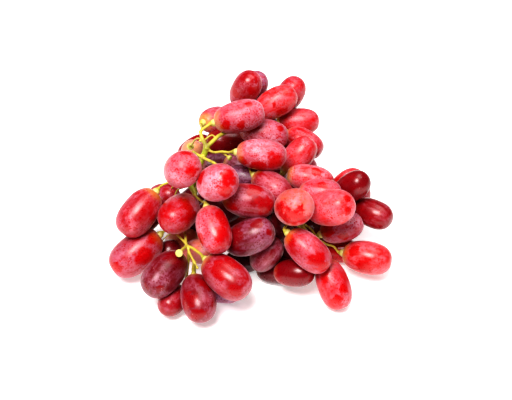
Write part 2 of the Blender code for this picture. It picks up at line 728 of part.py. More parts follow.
def push_clear(line, heap, wide):
    """Moves the inner points of a line off the berries; gives nothing when it stays caught."""
    line = line.copy()
    for _ in range(PUSH_ROUNDS):
        moved = False
        for k in range(1, len(line)):
            last = k == len(line) - 1
            rel = line[k] - heap.mid
            at = np.clip((rel * heap.axis).sum(1), -heap.half, heap.half)
            away = rel - at[:, None] * heap.axis
            far = np.linalg.norm(away, axis=1)
            sunk = heap.radius + wide - far
            worst = int(sunk.argmax())
            if sunk[worst] > PUSH_FROM:
                if last:
                    return None if sunk[worst] > WORST_END else line
                line[k] = line[k] + away[worst] / far[worst] * (sunk[worst] + PUSH_EXTRA)
                moved = True
        for k in range(1, len(line) - 1):
            line[k] = (1 - 2 * EASE) * line[k] + EASE * (line[k - 1] + line[k + 1])
        if not moved:
            return line
    return None


def fuse(name, things):
    """One body from many overlapping ones; the exact solver left open edges on the stalk."""
    group = bpy.data.collections.new(name + "_parts")
    bpy.context.scene.collection.children.link(group)
    base = things[0]
    bpy.context.scene.collection.objects.link(base)
    for thing in things[1:]:
        group.objects.link(thing)
    joiner = base.modifiers.new("fuse", "BOOLEAN")
    joiner.operation = "UNION"
    joiner.operand_type = "COLLECTION"
    joiner.collection = group
    joiner.solver = "MANIFOLD"
    apply_modifiers(base)
    for thing in things[1:]:
        bpy.data.objects.remove(thing)
    bpy.data.collections.remove(group)
    base.name = name
    return base


def apply_modifiers(thing):
    bpy.context.view_layer.update()
    graph = bpy.context.evaluated_depsgraph_get()
    mesh = bpy.data.meshes.new_from_object(thing.evaluated_get(graph))
    thing.modifiers.clear()
    thing.data = mesh


def take_away(base, cutter):
    bpy.context.scene.collection.objects.link(cutter)
    cut = base.modifiers.new("cut", "BOOLEAN")
    cut.operation = "DIFFERENCE"
    cut.object = cutter
    cut.solver = "MANIFOLD"
    apply_modifiers(base)
    bpy.data.objects.remove(cutter)


def keep_largest(thing):
    """Drops loose scrap and the skins of sealed hollows."""
    shape = bmesh.new()
    shape.from_mesh(thing.data)
    left = set(shape.verts)
    groups = []
    while left:
        start = left.pop()
        group = {start}
        queue = [start]
        while queue:
            vert = queue.pop()
            for edge in vert.link_edges:
                other = edge.other_vert(vert)
                if other in left:
                    left.remove(other)
                    group.add(other)
                    queue.append(other)
        groups.append(group)
    groups.sort(key=len, reverse=True)
    for group in groups[1:]:
        bmesh.ops.delete(shape, geom=list(group), context="VERTS")
    shape.to_mesh(thing.data)
    shape.free()


def box_below_table():
    wide = 200 * MM
    deep = 30 * MM
    points = [(x, y, z) for z in (-deep, 0.0) for y in (-wide, wide) for x in (-wide, wide)]
    sides = [(0, 2, 3, 1), (4, 5, 7, 6), (0, 1, 5, 4), (2, 6, 7, 3), (0, 4, 6, 2), (1, 3, 7, 5)]
    faces = [(a, b, c) for a, b, c, d in sides] + [(a, c, d) for a, b, c, d in sides]
    return add_mesh("below", points, faces)


def shift_to_middle(heap):
    """How far to move everything so that the bunch stands over the origin."""
    reach = heap.half[:, None] * abs(heap.axis) + heap.round[:, None]
    low = (heap.mid - reach).min(0)
    high = (heap.mid + reach).max(0)
    return np.array([-(low[0] + high[0]) / 2, -(low[1] + high[1]) / 2, 0.0])


def make_berries(heap, move):
    things = []
    for i in range(len(heap.names)):
        points = berry_points(heap.mid[i] + move, heap.axis[i], heap.radius[i], heap.full[i], AROUND, BANDS)
        things.append(add_mesh("berry", points, tube_faces(AROUND, BANDS - 1)))
    for i, j in link_loose_groups(heap):
        at, to, _ = rod_gap(heap.mid[i], heap.axis[i], heap.half[i], heap.mid[j], heap.axis[j], heap.half[j])
        start = heap.mid[i] + at * heap.axis[i] + move
        stop = heap.mid[j] + to * heap.axis[j] + move
        line = np.array([start, (start + stop) / 2, stop])
        points = tube_points(line, [LINK_RADIUS] * 3, TWIG_SIDES)
        things.append(add_mesh("link", points, tube_faces(TWIG_SIDES, 3)))
    return fuse("berries", things)


def make_stalk(name, stems, twigs, move, extra):
    things = []
    for _, line, radii in stems:
        points = tube_points(line + move, radii + extra, STEM_SIDES)
        things.append(add_mesh("stem", points, tube_faces(STEM_SIDES, len(line))))
    for line, radii in twigs:
        points = tube_points(line + move, radii + extra, TWIG_SIDES)
        things.append(add_mesh("twig", points, tube_faces(TWIG_SIDES, len(line))))
    return fuse(name, things)


def give_material(thing, name, colour, roughness):
    """Plain finish of a piece, shaded smooth."""
    material = bpy.data.materials.new(name)
    material.use_nodes = True
    shader = material.node_tree.nodes["Principled BSDF"]
    shader.inputs["Base Color"].default_value = (*colour, 1.0)
    shader.inputs["Roughness"].default_value = roughness
    shader.inputs["Metallic"].default_value = 0.0
    thing.data.materials.clear()
    thing.data.materials.append(material)
    thing.data.shade_smooth()


def clear_scene():
    for thing in list(bpy.data.objects):
        bpy.data.objects.remove(thing)


def build():
    clear_scene()
    heap = lay_seen_berries()
    stems = main_stem_paths()
    lay_hidden_berries(heap, stems)
    move = shift_to_middle(heap)
    twigs = route_twigs(heap, stems)
    berries = make_berries(heap, move)
    stalk = make_stalk("stalk", stems, twigs, move, 0.0)
    wide = make_stalk("wide", stems, twigs, move, CLEAR)
    bpy.context.scene.collection.objects.unlink(wide)
    take_away(berries, wide)
    take_away(berries, box_below_table())
    keep_largest(berries)
    keep_largest(stalk)
    give_material(berries, "berry_skin", BERRY_COLOUR, BERRY_ROUGHNESS)
    give_material(stalk, "stalk_green", STALK_COLOUR, STALK_ROUGHNESS)


build()
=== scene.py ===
# %% [markdown]
# # A bunch of red grapes
#
# The real thing is about seventy berries on one branching green stalk. It lies on its side, and the
# berries on top are the ones the light reaches. This lesson makes the fine surface of the bunch over
# a plain solid model that is already the right size.
# The model is loaded first.

# %% Load the plain model
import math

import bpy
import numpy as np
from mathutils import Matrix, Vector
from mathutils.kdtree import KDTree


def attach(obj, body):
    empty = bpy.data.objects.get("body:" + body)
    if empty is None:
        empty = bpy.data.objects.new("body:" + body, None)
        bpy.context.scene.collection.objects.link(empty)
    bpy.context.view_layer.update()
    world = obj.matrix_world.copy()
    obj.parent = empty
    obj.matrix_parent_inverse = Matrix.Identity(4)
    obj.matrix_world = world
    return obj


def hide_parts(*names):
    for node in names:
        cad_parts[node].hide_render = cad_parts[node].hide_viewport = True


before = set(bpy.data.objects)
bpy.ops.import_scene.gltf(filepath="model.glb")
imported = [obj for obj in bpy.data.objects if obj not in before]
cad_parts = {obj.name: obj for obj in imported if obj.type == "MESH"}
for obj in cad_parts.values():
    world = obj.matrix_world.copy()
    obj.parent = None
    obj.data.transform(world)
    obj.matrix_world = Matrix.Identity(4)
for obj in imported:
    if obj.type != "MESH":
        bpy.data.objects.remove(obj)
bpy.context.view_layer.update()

MM = 0.001

# %% [markdown]
# ## Where the eye stands
#
# The picture looks down on the bunch at about 40 degrees from half a metre away. Everything seen in it
# is measured on a flat plane through the middle of the bunch, in millimetres across and up. Three
# directions turn such a reading into a place over the table: right, up in the picture, and nearer.
# They could be typed as numbers, but worked out from one angle they always stay square to each other.

# %% Picture directions
VIEW_DISTANCE = 480 * MM
VIEW_ANGLE = math.radians(40)
AIM_HEIGHT = 38 * MM
RIGHT = np.array([1.0, 0.0, 0.0])
UP = np.array([0.0, math.sin(VIEW_ANGLE), math.cos(VIEW_ANGLE)])
NEAR = np.array([0.0, -math.cos(VIEW_ANGLE), math.sin(VIEW_ANGLE)])
AIM = np.array([0.0, 0.0, AIM_HEIGHT])


def from_picture(across, up, depth):
    """Table point of a picture reading at a depth; nearer things are smaller than they look."""
    scale = (VIEW_DISTANCE - depth) / VIEW_DISTANCE
    return AIM + across * scale * RIGHT + up * scale * UP + depth * NEAR


def to_picture(points):
    """Where table points are seen: across and up."""
    rel = points - AIM
    depth = rel @ NEAR
    scale = VIEW_DISTANCE / (VIEW_DISTANCE - depth)
    return np.stack([(rel @ RIGHT) * scale, (rel @ UP) * scale], axis=-1)


print("the eye is", round(VIEW_DISTANCE / MM), "mm away")

# %% [markdown]
# ## The berries that are seen
#
# A generator could scatter berries at random, but then the picture's own arrangement would be lost.
# So each seen berry has one line: where its middle is, how wide it looks, which way its blossom end
# points, how far it tips toward the eye, and roughly how deep it sits. The depths only have to be
# rough, because the berries push each other into place below.

# %% Table of the seen berries
BERRY_RATIO = 1.5
# name, across, up, width, direction of the blossom end, tip toward the eye, depth wanted
# the first three and the last are millimetres, the two between are degrees
# the list runs from the back of the picture to the front
SEEN_BERRIES = [
    ("top_back", -1.9, 59.9, 14.5, 60, 35, -44),
    ("crown_back", 18.3, 56.8, 14.9, 60, 40, -42),
    ("top", -5.7, 59.6, 15.5, 57, 40, -32),
    ("crown", 10.5, 52.5, 16.1, 28, 5, -24),
    ("right_high", 22.7, 42.3, 14.9, 0, 5, -32),
    ("right_second", 25.8, 31.0, 14.9, -30, 10, -28),
    ("right_third", 22.8, 19.0, 14.0, -20, 10, -30),
    ("left_high", -22.2, 43.4, 14.1, 22, -52, -26),
    ("far_right_small", 49.3, 8.2, 15.0, 40, 40, -14),
    ("far_right_dark", 52.0, 7.0, 15.7, 38, 50, 2),
    ("far_right_low", 63.0, -7.1, 15.6, -25, 25, -4),
    ("fork_dark", -15.6, 31.2, 15.5, 0, -10, -24),
    ("fork_outer", -32.8, 27.1, 14.2, 30, 20, -32),
    ("fork_left", -33.9, 25.4, 13.2, -75, -72, -18),
    ("dusky_left", -20.2, 18.8, 15.0, 0, -15, -16),
    ("dusky_right", -7.4, 17.2, 14.5, -25, 10, -16),
    ("dusky_low", -5.5, 12.0, 14.5, -10, 0, -10),
    ("under_crown", 4.3, 36.1, 16.1, -12, 0, -10),
    ("right_bright", 22.7, 23.9, 15.7, 48, 10, -8),
    ("upper_long", -9.1, 45.1, 17.6, 14, 0, -5),
    ("middle_long", 2.9, 24.6, 17.2, -5, 0, 5),
    ("right_shelf", 29.2, 11.5, 15.0, -12, 0, -8),
    ("right_shelf_low", 34.5, 3.8, 15.5, 0, 5, 2),
    ("middle_slanted", 8.5, 6.9, 16.5, -35, 20, 2),
    ("right_dark_low", 43.4, -26.7, 14.5, 0, 20, -16),
    ("right_speckled", 46.2, -15.0, 15.9, 18, 5, 2),
    ("low_dark_front", 10.8, -38.0, 14.5, 0, 20, -8),
    ("low_dark_right", 20.6, -39.3, 15.1, 0, 20, 2),
    ("hanging_right", 41.7, -45.5, 17.8, -70, 5, 8),
    ("outer_right", 59.9, -31.0, 18.0, -10, 15, -4),
    ("notch_dark", -7.8, -33.2, 12.6, 0, 10, -8),
    ("low_dark", 5.6, -29.4, 15.2, 50, 32, 4),
    ("right_coral", 40.3, -4.2, 20.0, 8, 48, 18),
    ("centre_wide", -3.9, -0.5, 18.8, -10, 0, 12),
    ("centre_purple", -3.7, -20.0, 19.4, 22, 14, 8),
    ("right_slanted", 27.9, -27.4, 18.2, -42, 5, 16),
    ("facing_peach", 20.4, -4.0, 20.5, 20, 78, 26),
    ("left_gap_small", -49.6, 2.8, 12.4, 0, 30, -18),
    ("left_shadow", -57.0, -9.0, 12.5, 230, 20, -16),
    ("left_inner", -39.8, -21.5, 14.0, 0, 40, -12),
    ("left_inner_low", -30.5, -27.7, 14.0, 0, 40, -6),
    ("left_between", -49.2, -29.6, 13.2, 40, 10, -12),
    ("front_low_left", -44.5, -54.1, 14.9, 230, 60, 16),
    ("front_low_blue", -17.6, -48.9, 14.0, 0, 20, 9),
    ("outer_left_low", -64.6, -28.5, 21.3, 218, 5, 8),
    ("front_purple", -49.3, -39.8, 20.2, 228, 35, 10),
    ("outer_left", -63.1, -6.8, 19.6, 232, 8, 0),
    ("front_lowest", -31.2, -52.8, 19.2, -74, 38, 24),
    ("front_large", -16.1, -41.3, 20.7, -38, 22, 20),
    ("front_upright", -22.9, -16.0, 18.4, -72, 20, 22),
    ("left_front", -41.4, -7.1, 19.8, 225, 58, 18),
    ("facing_pink", -21.0, 9.3, 20.3, 15, 62, 26),
    ("facing_left", -39.8, 16.4, 20.0, 25, 72, 20),
]

# berries longer for their width than the rest
LONG_BERRIES = {
    "crown": 1.56,
    "right_high": 1.55,
    "under_crown": 1.67,
    "upper_long": 1.6,
    "middle_long": 1.6,
    "right_shelf": 1.75,
    "centre_wide": 1.54,
    "hanging_right": 1.6,
    "right_slanted": 1.61,
}
print(len(SEEN_BERRIES), "berries are seen")

# %% [markdown]
# ## Berries that press on each other
#
# For touching, a berry is a rod with round ends: quick to measure, and close to its true shape.
# A physics run could settle the heap, but it would also slide berries sideways out of their places in
# the picture. Here a berry only moves along the line of sight: away from any berry that it sinks into,
# and gently back to its wanted depth.

# %% Touching rods
CONTACT_RADIUS = 0.96
PRESS = 1.4 * MM
FLOOR_PRESS = 0.45 * MM
REACH = 6 * MM
NEARLY_PRESSED = 0.8
DRAW_RATE = 0.02
PUSH_RATE = 0.3
PULL_EARLY = 0.004
PULL_LATE = 0.0008
LATE_ROUND = 1280
SMALL_GIVE = 2.8
SETTLE_ROUNDS = 1600
SMALL_BERRY = 16.5 * MM


def rod_gap(mid, axis, half, mids, axes, halves):
    """Nearest points of the centre lines of rods, as places along each, and the way between them."""
    apart = mid - mids
    along = (axis * axes).sum(-1)
    first = (apart * axis).sum(-1)
    second = (apart * axes).sum(-1)
    spread = np.maximum(1 - along * along, 1e-6)
    at = np.clip((along * second - first) / spread, -half, half)
    for _ in range(3):
        to = np.clip(along * at + second, -halves, halves)
        at = np.clip(along * to - first, -half, half)
    return at, to, apart + at[..., None] * axis - to[..., None] * axes


def rod_distance(mid, axis, half, mids, axes, halves):
    """Distance between the centre lines of rods, pair by pair."""
    gap = rod_gap(mid, axis, half, mids, axes, halves)[2]
    return np.sqrt((gap * gap).sum(-1))


class Heap:
    """The berries laid so far, each a rod with round ends for touching."""

    def __init__(self):
        self.names = []
        self.mid = np.zeros((0, 3))
        self.axis = np.zeros((0, 3))
        self.radius = np.zeros(0)
        self.full = np.zeros(0)

    def add(self, name, mid, axis, radius, full):
        self.names.append(name)
        self.mid = np.vstack([self.mid, mid])
        self.axis = np.vstack([self.axis, axis])
        self.radius = np.append(self.radius, radius)
        self.full = np.append(self.full, full)

    @property
    def round(self):
        return self.radius * CONTACT_RADIUS

    @property
    def half(self):
        return self.full - self.round

    def overlap(self, mid, axis, radius, full):
        """How deep a berry at each of several places sinks into each berry of the heap."""
        touch = radius * CONTACT_RADIUS
        half = np.full(len(mid), full - touch)[:, None]
        far = rod_distance(mid[:, None], axis, half, self.mid[None], self.axis[None], self.half[None])
        return touch + self.round[None] - far


def closer_to_neighbour(sunk, back, front, count):
    """A berry that presses on none moves a little toward the nearest one before or behind it."""
    nearest = np.full(count, -1.0)
    side = np.zeros(count)
    for mine, sign in ((back, 1.0), (front, -1.0)):
        order = np.argsort(sunk)
        better = np.full(count, -1.0)
        better[mine[order]] = sunk[order]
        side = np.where(better > nearest, sign, side)
        nearest = np.maximum(better, nearest)
    loose = (nearest < NEARLY_PRESSED * PRESS) & (nearest > -REACH)
    return np.where(loose, side * DRAW_RATE * (PRESS - nearest), 0.0)


def lay_seen_berries():
    """Depths settle: each berry is drawn to the depth wanted and pushed off those it meets."""
    table = SEEN_BERRIES
    across = np.array([row[1] for row in table]) * MM
    up = np.array([row[2] for row in table]) * MM
    width = np.array([row[3] for row in table]) * MM
    turn = np.radians([row[4] for row in table])
    tip = np.radians([row[5] for row in table])
    wanted = np.array([row[6] for row in table]) * MM
    ratio = np.array([LONG_BERRIES.get(row[0], BERRY_RATIO) for row in table])
    flat = np.cos(turn)[:, None] * RIGHT + np.sin(turn)[:, None] * UP
    axis = np.cos(tip)[:, None] * flat + np.sin(tip)[:, None] * NEAR
    back, front = np.triu_indices(len(table), 1)
    give = np.where(width > SMALL_BERRY, 1.0, SMALL_GIVE)
    share = give[back] / (give[back] + give[front])
    depth = wanted.copy()
    for turn_number in range(SETTLE_ROUNDS + 1):
        scale = (VIEW_DISTANCE - depth) / VIEW_DISTANCE
        mid = AIM + (across * scale)[:, None] * RIGHT + (up * scale)[:, None] * UP + depth[:, None] * NEAR
        radius = width / 2 * scale
        full = radius * ratio
        touch = radius * CONTACT_RADIUS
        half = full - touch
        if turn_number == SETTLE_ROUNDS:
            break
        far = rod_distance(mid[back], axis[back], half[back], mid[front], axis[front], half[front])
        sunk = np.maximum(touch[back] + touch[front] - PRESS - far, 0)
        move = np.zeros(len(table))
        np.add.at(move, back, -PUSH_RATE * sunk * share)
        np.add.at(move, front, PUSH_RATE * sunk * (1 - share))
        move += closer_to_neighbour(touch[back] + touch[front] - far, back, front, len(table))
        pull = PULL_EARLY if turn_number < LATE_ROUND else PULL_LATE
        depth = depth + move + pull * (wanted - depth)
        lowest = mid[:, 2] - half * abs(axis[:, 2]) - touch
        depth = depth + np.maximum(-FLOOR_PRESS - lowest, 0) / NEAR[2]
    heap = Heap()
    for row, place, line, size, length in zip(table, mid, axis, radius, full):
        heap.add(row[0], place, line, size, length)
    return heap


heap = lay_seen_berries()
print("settled", len(heap.names), "seen berries")

# %% [markdown]
# ## The stalk's main stems
#
# The stalk branches behind the berries: one stem runs to a fork that shows at the left, one to the
# top, one along the right lobe, one down to the lower left, and the cut end leaves at the back.
# Each is a smooth curve through a few points read off the picture, each with a depth.

# %% Main stems
# the main stems: name, radius at each end, then across, up and depth of each point in millimetres
MAIN_STEMS = [
    ("to_fork", 2.1, 1.6, [(-33, 10, -5), (-31, 18, -3), (-28.2, 24, 0), (-26.7, 28.5, 2)]),
    ("crown", 1.2, 1.0, [(-26.7, 28.5, 2), (-22.3, 32.6, 0), (-18.8, 35.3, -4), (-8, 40, -18),
                         (2, 45, -28), (12, 47, -34)]),
    ("upper_left", 1.2, 0.95, [(-26.7, 28.5, 2), (-28.2, 31.6, 2), (-29.3, 34.0, 2), (-30, 37.0, 2)]),
    ("right", 1.9, 1.0, [(-33, 10, -5), (-10, 8, -8), (8, 2, -4), (21, -8.5, 2)]),
    ("lower_left", 1.9, 0.8, [(-33, 10, -5), (-35.2, 7.6, -2), (-33.2, 2.7, 1), (-36.5, -6, 1),
                              (-38.9, -16, 4)]),
    ("lower_fan", 0.75, 0.65, [(-38.9, -16, 4), (-38.1, -20.3, 8), (-37.4, -24.4, 12),
                               (-35.6, -29.3, 15), (-33.4, -33.3, 18)]),
    ("peduncle", 2.1, 2.3, [(-33, 10, -5), (-31, 11, -22), (-29, 14, -44), (-27, 19, -64)]),
]


def smooth_line(corners, steps):
    """Curve through the given points."""
    ends = np.vstack([2 * corners[0] - corners[1], corners, 2 * corners[-1] - corners[-2]])
    line = []
    for i in range(1, len(ends) - 2):
        for step in range(steps):
            t = step / steps
            before, start, stop, after = ends[i - 1:i + 3]
            line.append(0.5 * (2 * start + (stop - before) * t
                               + (2 * before - 5 * start + 4 * stop - after) * t * t
                               + (3 * start - before - 3 * stop + after) * t ** 3))
    line.append(corners[-1])
    return np.array(line)


def main_stem_paths():
    """Table points and radii of the main stems."""
    paths = []
    for name, start, end, points in MAIN_STEMS:
        corners = np.array([from_picture(a * MM, u * MM, d * MM) for a, u, d in points])
        line = smooth_line(corners, 4)
        radii = np.linspace(start, end, len(line)) * MM
        paths.append((name, line, radii))
    return paths


stems = main_stem_paths()
print(len(stems), "main stems")

# %% [markdown]
# ## The berries behind
#
# The back of the bunch isn't seen, but the part is looked at from all sides, so it is filled by a
# rule. Many places are tried with a fixed seed. A berry is pushed forward until it touches the ones
# in front, it must not show in the picture where the real bunch is open, and the best try is kept.

# %% Rule for the berries behind
HIDDEN_BERRIES = 48
TABLE_BERRIES = 12
HIDDEN_TRIES = 70
HIDDEN_WIDTH = 18 * MM
HIDDEN_SPREAD = 1.2 * MM
HIDDEN_RATIO = (1.45, 1.6)
HIDDEN_ACROSS = (-62 * MM, 62 * MM)
HIDDEN_UP = (-50 * MM, 60 * MM)
TURNED_AWAY = 0.3
TURN_AWAY = 1.2
LYING_FLAT = 0.3
HIDDEN_SEED = 15
DEEPEST = 120 * MM
NEAREST = 30 * MM
FURTHEST_BACK = 86 * MM
TABLE_BACK = 68 * MM
LOOSE_GAP = 9 * MM
TOUCH_GAP = 0.6 * MM
CONTACT_DEPTH = 0.2 * MM
CONTACT_WORTH = 2 * MM
STEP = 1.2 * MM
FINE_STEP = 0.1 * MM
CLEAR = 0.35 * MM
HAIR = 0.01 * MM
NEARLY_ALL = 0.9
# rings of points on a berry: place along it and size, as parts of its length and of its radius
RIM_BANDS = [(-0.75, 0.72), (-0.3, 0.97), (0.3, 0.97), (0.75, 0.72)]
RIM_POINTS = 10

# the part of the picture the bunch fills: across and up in millimetres, clockwise
FILLED_OUTLINE = [
    (-5.9, 60.8), (17.0, 58.0), (25.1, 43.2), (27.8, 32.4), (28.5, 21.6), (30.5, 12.2),
    (41.3, 2.7), (53.5, 5.4), (60.2, -6.8), (48.1, -16.2), (38.6, -21.6), (56.2, -31.0),
    (42.7, -32.4), (41.3, -45.9), (33.2, -36.5), (21.1, -41.9), (11.6, -40.5), (6.2, -32.4),
    (-5.9, -31.0), (-14.0, -43.2), (-30.2, -54.0), (-42.4, -55.4), (-50.5, -40.5),
    (-42.4, -27.0), (-42.4, -10.8), (-32.9, 2.7), (-39.7, 16.2), (-33.0, 28.0),
    (-24.8, 43.2), (-14.0, 48.0),
]

# dark gaps of the picture that a berry behind has to fill: across and up in millimetres; these berries are
# later painted near-black, as painted shade
DARK_GAPS = [
    (-16.5, -5.0), (9.0, -12.5), (6.0, -33.0), (-6.5, -29.0), (-41.0, -36.0), (-32.0, -13.0),
    (-32.0, 1.0), (14.0, -20.0), (33.0, -18.5), (-30.5, -39.0),
]
GAP_SPREAD = 3 * MM

# places where the table shows through: across, up, radius in millimetres
SEE_THROUGH = [
    (-24.8, 23.9, 1.2),
    (-29.2, 35.6, 1.4),
    (-11.0, 34.7, 1.5),
    (12.2, 43.6, 0.8),
    (-45.4, 8.1, 2.0),
    (-42.1, 5.4, 1.5),
    (-51.8, -18.9, 2.6),
    (-53.0, -14.5, 1.5),
    (-46.8, -20.4, 1.2),
]


def inside_outline(points, outline):
    """Which picture points lie inside the closed outline."""
    inside = np.zeros(len(points), dtype=bool)
    last = outline[-1]
    for corner in outline:
        crosses = (corner[1] > points[:, 1]) != (last[1] > points[:, 1])
        rise = last[1] - corner[1] if last[1] != corner[1] else 1e-9
        where = (last[0] - corner[0]) * (points[:, 1] - corner[1]) / rise + corner[0]
        inside ^= crosses & (points[:, 0] < where)
        last = corner
    return inside


def berry_rim(mid, axis, radius, full):
    """Points on the skin of a berry, enough to tell where it is seen."""
    side = np.cross(axis, [0.3, 0.5, 0.81])
    side = side / np.linalg.norm(side)
    other = np.cross(axis, side)
    points = [mid + axis * full, mid - axis * full]
    for place, size in RIM_BANDS:
        for step in range(RIM_POINTS):
            angle = 2 * math.pi * step / RIM_POINTS
            points.append(mid + axis * full * place
                          + radius * size * (math.cos(angle) * side + math.sin(angle) * other))
    return np.array(points)


def picture_gap(heap, places):
    """How far places of the picture are from each berry's centre line, as both are seen."""
    reach = heap.axis * heap.half[:, None]
    first, last = to_picture(np.array([heap.mid - reach, heap.mid + reach]))
    way = last - first
    size = np.maximum((way * way).sum(1), 1e-12)
    at = np.clip(((places[:, None] - first) * way).sum(-1) / size, 0, 1)
    return np.linalg.norm(places[:, None] - first - at[..., None] * way, axis=-1)


def stays_hidden(heap, seen, mid, axis, radius, full):
    """A berry behind may show only where the bunch of the picture has berries."""
    spots = to_picture(berry_rim(mid, axis, radius, full))
    for across, up, size in SEE_THROUGH:
        hole = np.array([across, up]) * MM
        if np.linalg.norm(spots - hole, axis=1).min() < size * MM:
            return False
        if np.linalg.norm(to_picture(mid) - hole) < size * MM + radius * NEARLY_ALL:
            return False
    look = VIEW_DISTANCE / (VIEW_DISTANCE - (heap.mid[:seen] - AIM) @ NEAR)
    over_berry = (picture_gap(heap, spots)[:, :seen] < heap.radius[:seen] * look).any(1)
    return (over_berry | inside_outline(spots / MM, FILLED_OUTLINE)).all()


def heap_overlaps(heap):
    """How deep each berry of the heap sinks into each other one."""
    count = len(heap.names)
    i, j = np.triu_indices(count, 1)
    far = rod_distance(heap.mid[i], heap.axis[i], heap.half[i], heap.mid[j], heap.axis[j], heap.half[j])
    sunk = np.full((count, count), -1.0)
    sunk[i, j] = heap.round[i] + heap.round[j] - far
    sunk[j, i] = sunk[i, j]
    return sunk


def drop_loose_berries(heap, seen):
    """Leaves out the berries behind that touch fewer than two others."""
    contacts = (heap_overlaps(heap) > -TOUCH_GAP).sum(1)
    keep = np.flatnonzero((np.arange(len(heap.names)) < seen) | (contacts > 1))
    heap.names = [heap.names[i] for i in keep]
    heap.mid, heap.axis = heap.mid[keep], heap.axis[keep]
    heap.radius, heap.full = heap.radius[keep], heap.full[keep]


def depth_at_height(up, height):
    """How far back the line of sight of a picture point meets a height over the table."""
    rise = UP[2] * up
    return (height - AIM_HEIGHT - rise) / (NEAR[2] - rise / VIEW_DISTANCE)


def blocked_places(heap, stalk, mids, axis, radius, full):
    """Which places a berry can't take, and how deep it sinks into the others there."""
    sunk = heap.overlap(mids, axis, radius, full)
    touch = radius * CONTACT_RADIUS
    steps = np.linspace(-1, 1, 5)[None, :, None] * (full - touch) * axis
    rods = mids[:, None, None, :] + steps[:, :, None, :]
    stem_gap = np.linalg.norm(rods - stalk["points"], axis=-1) - stalk["radii"] - touch - CLEAR
    low = mids[:, 2] - (full - touch) * abs(axis[2]) - touch
    blocked = (sunk.max(1) > PRESS) | (stem_gap.min((1, 2)) < 0) | (low < -FLOOR_PRESS - HAIR)
    return blocked, sunk


def draw_berry(draw, number, on_table):
    """A spot of the picture, a direction and a size for a berry behind."""
    if number < len(DARK_GAPS):
        across, up = np.array(DARK_GAPS[number]) * MM + draw.uniform(-1, 1, 2) * GAP_SPREAD
    else:
        across = draw.uniform(*HIDDEN_ACROSS)
        up = draw.uniform(*HIDDEN_UP)
    axis = draw.normal(0, 1, 3)
    axis = axis - NEAR * max(axis @ NEAR, -TURNED_AWAY) * TURN_AWAY
    if on_table:
        axis[2] = axis[2] * LYING_FLAT
    axis = axis / np.linalg.norm(axis)
    radius = (HIDDEN_WIDTH + draw.uniform(-1, 1) * HIDDEN_SPREAD) / 2
    return across, up, (axis, radius, radius * draw.uniform(*HIDDEN_RATIO))


def place_on_table(heap, seen, stalk, across, up, size):
    """Where a berry on the table takes this spot, with how deep it sinks into each other one."""
    axis, radius, full = size
    touch = radius * CONTACT_RADIUS
    height = (full - touch) * abs(axis[2]) + touch - FLOOR_PRESS
    depths = np.arange(depth_at_height(up, height), NEAREST, STEP)
    mids = from_picture(across, up, depths[:, None])
    if mids[0, 1] > TABLE_BACK:
        return None
    blocked, sunk = blocked_places(heap, stalk, mids, *size)
    under_seen = (sunk[:, :seen].max(1) > PRESS).any()
    if not under_seen or blocked[0] or sunk[0].max() < -LOOSE_GAP:
        return None
    return mids[0], sunk[0]


def place_behind(heap, seen, stalk, across, up, size):
    """Where a berry pushed forward from behind gets caught, nearest to the main stems."""
    depths = np.arange(-DEEPEST, NEAREST, STEP)
    mids = from_picture(across, up, depths[:, None])
    blocked, sunk = blocked_places(heap, stalk, mids, *size)
    in_front = sunk[:, :seen].max(1) > PRESS
    if not in_front.any():
        return None
    blocked = blocked[:int(np.argmax(in_front)) + 1]
    usable = ~blocked[:-1] & (mids[:len(blocked) - 1, 1] < FURTHEST_BACK)
    after = np.flatnonzero(usable & blocked[1:])
    if len(after) == 0:
        return None
    nearness = [np.linalg.norm(stalk["spine"] - mids[k], axis=1).min() for k in after]
    start = depths[after[int(np.argmin(nearness))]]
    fine = from_picture(across, up, np.arange(start, start + STEP, FINE_STEP)[:, None])
    blocked, sunk = blocked_places(heap, stalk, fine, *size)
    stop = max(int(np.argmax(blocked)) - 1 if blocked.any() else len(fine) - 1, 0)
    return fine[stop], sunk[stop]


def lay_hidden_berries(heap, stems):
    """Berries that fit behind the seen ones and touch them, the best of a few tries kept."""
    draw = np.random.default_rng(HIDDEN_SEED)
    seen = len(heap.names)
    stalk = {
        "points": np.vstack([line for _, line, _ in stems]),
        "radii": np.concatenate([radii for _, _, radii in stems]),
        "spine": np.vstack([line for name, line, _ in stems if name != "peduncle"]),
    }
    for number in range(HIDDEN_BERRIES):
        on_table = len(DARK_GAPS) <= number < len(DARK_GAPS) + TABLE_BERRIES
        find_place = place_on_table if on_table else place_behind
        best = None
        for _ in range(HIDDEN_TRIES):
            across, up, size = draw_berry(draw, number, on_table)
            found = find_place(heap, seen, stalk, across, up, size)
            if found is None or not stays_hidden(heap, seen, found[0], *size):
                continue
            place, sunk = found
            contacts = int((sunk > CONTACT_DEPTH).sum())
            score = np.linalg.norm(stalk["spine"] - place, axis=1).min() - contacts * CONTACT_WORTH
            if best is None or score < best[0]:
                best = (score, place, *size)
        if best is not None:
            heap.add("hidden_%d" % number, *best[1:])
    drop_loose_berries(heap, seen)
    return seen


def shift_to_middle(heap):
    """How far to move everything so that the bunch stands over the origin."""
    reach = heap.half[:, None] * abs(heap.axis) + heap.round[:, None]
    low = (heap.mid - reach).min(0)
    high = (heap.mid + reach).max(0)
    return np.array([-(low[0] + high[0]) / 2, -(low[1] + high[1]) / 2, 0.0])


seen_count = lay_hidden_berries(heap, stems)
move = shift_to_middle(heap)
print(len(heap.names) - seen_count, "berries behind, shift in mm", [round(m / MM, 2) for m in move])

# %% [markdown]
# ## Camera, light and floor
#
# The picture is bright and nearly without shadow. A large soft lamp near the eye puts one blurred
# highlight on each berry, a second one lights their tops, and a faint white surround fills in. A
# strong surround would need no lamps, but the red would look milky and the gaps wouldn't go black.

# %% Camera
LENS = 62.5


def aim_object(thing, spot):
    """Turns a camera or a lamp to face a point."""
    way = Vector(spot) - thing.location
    thing.rotation_euler = way.to_track_quat("-Z", "Y").to_euler()


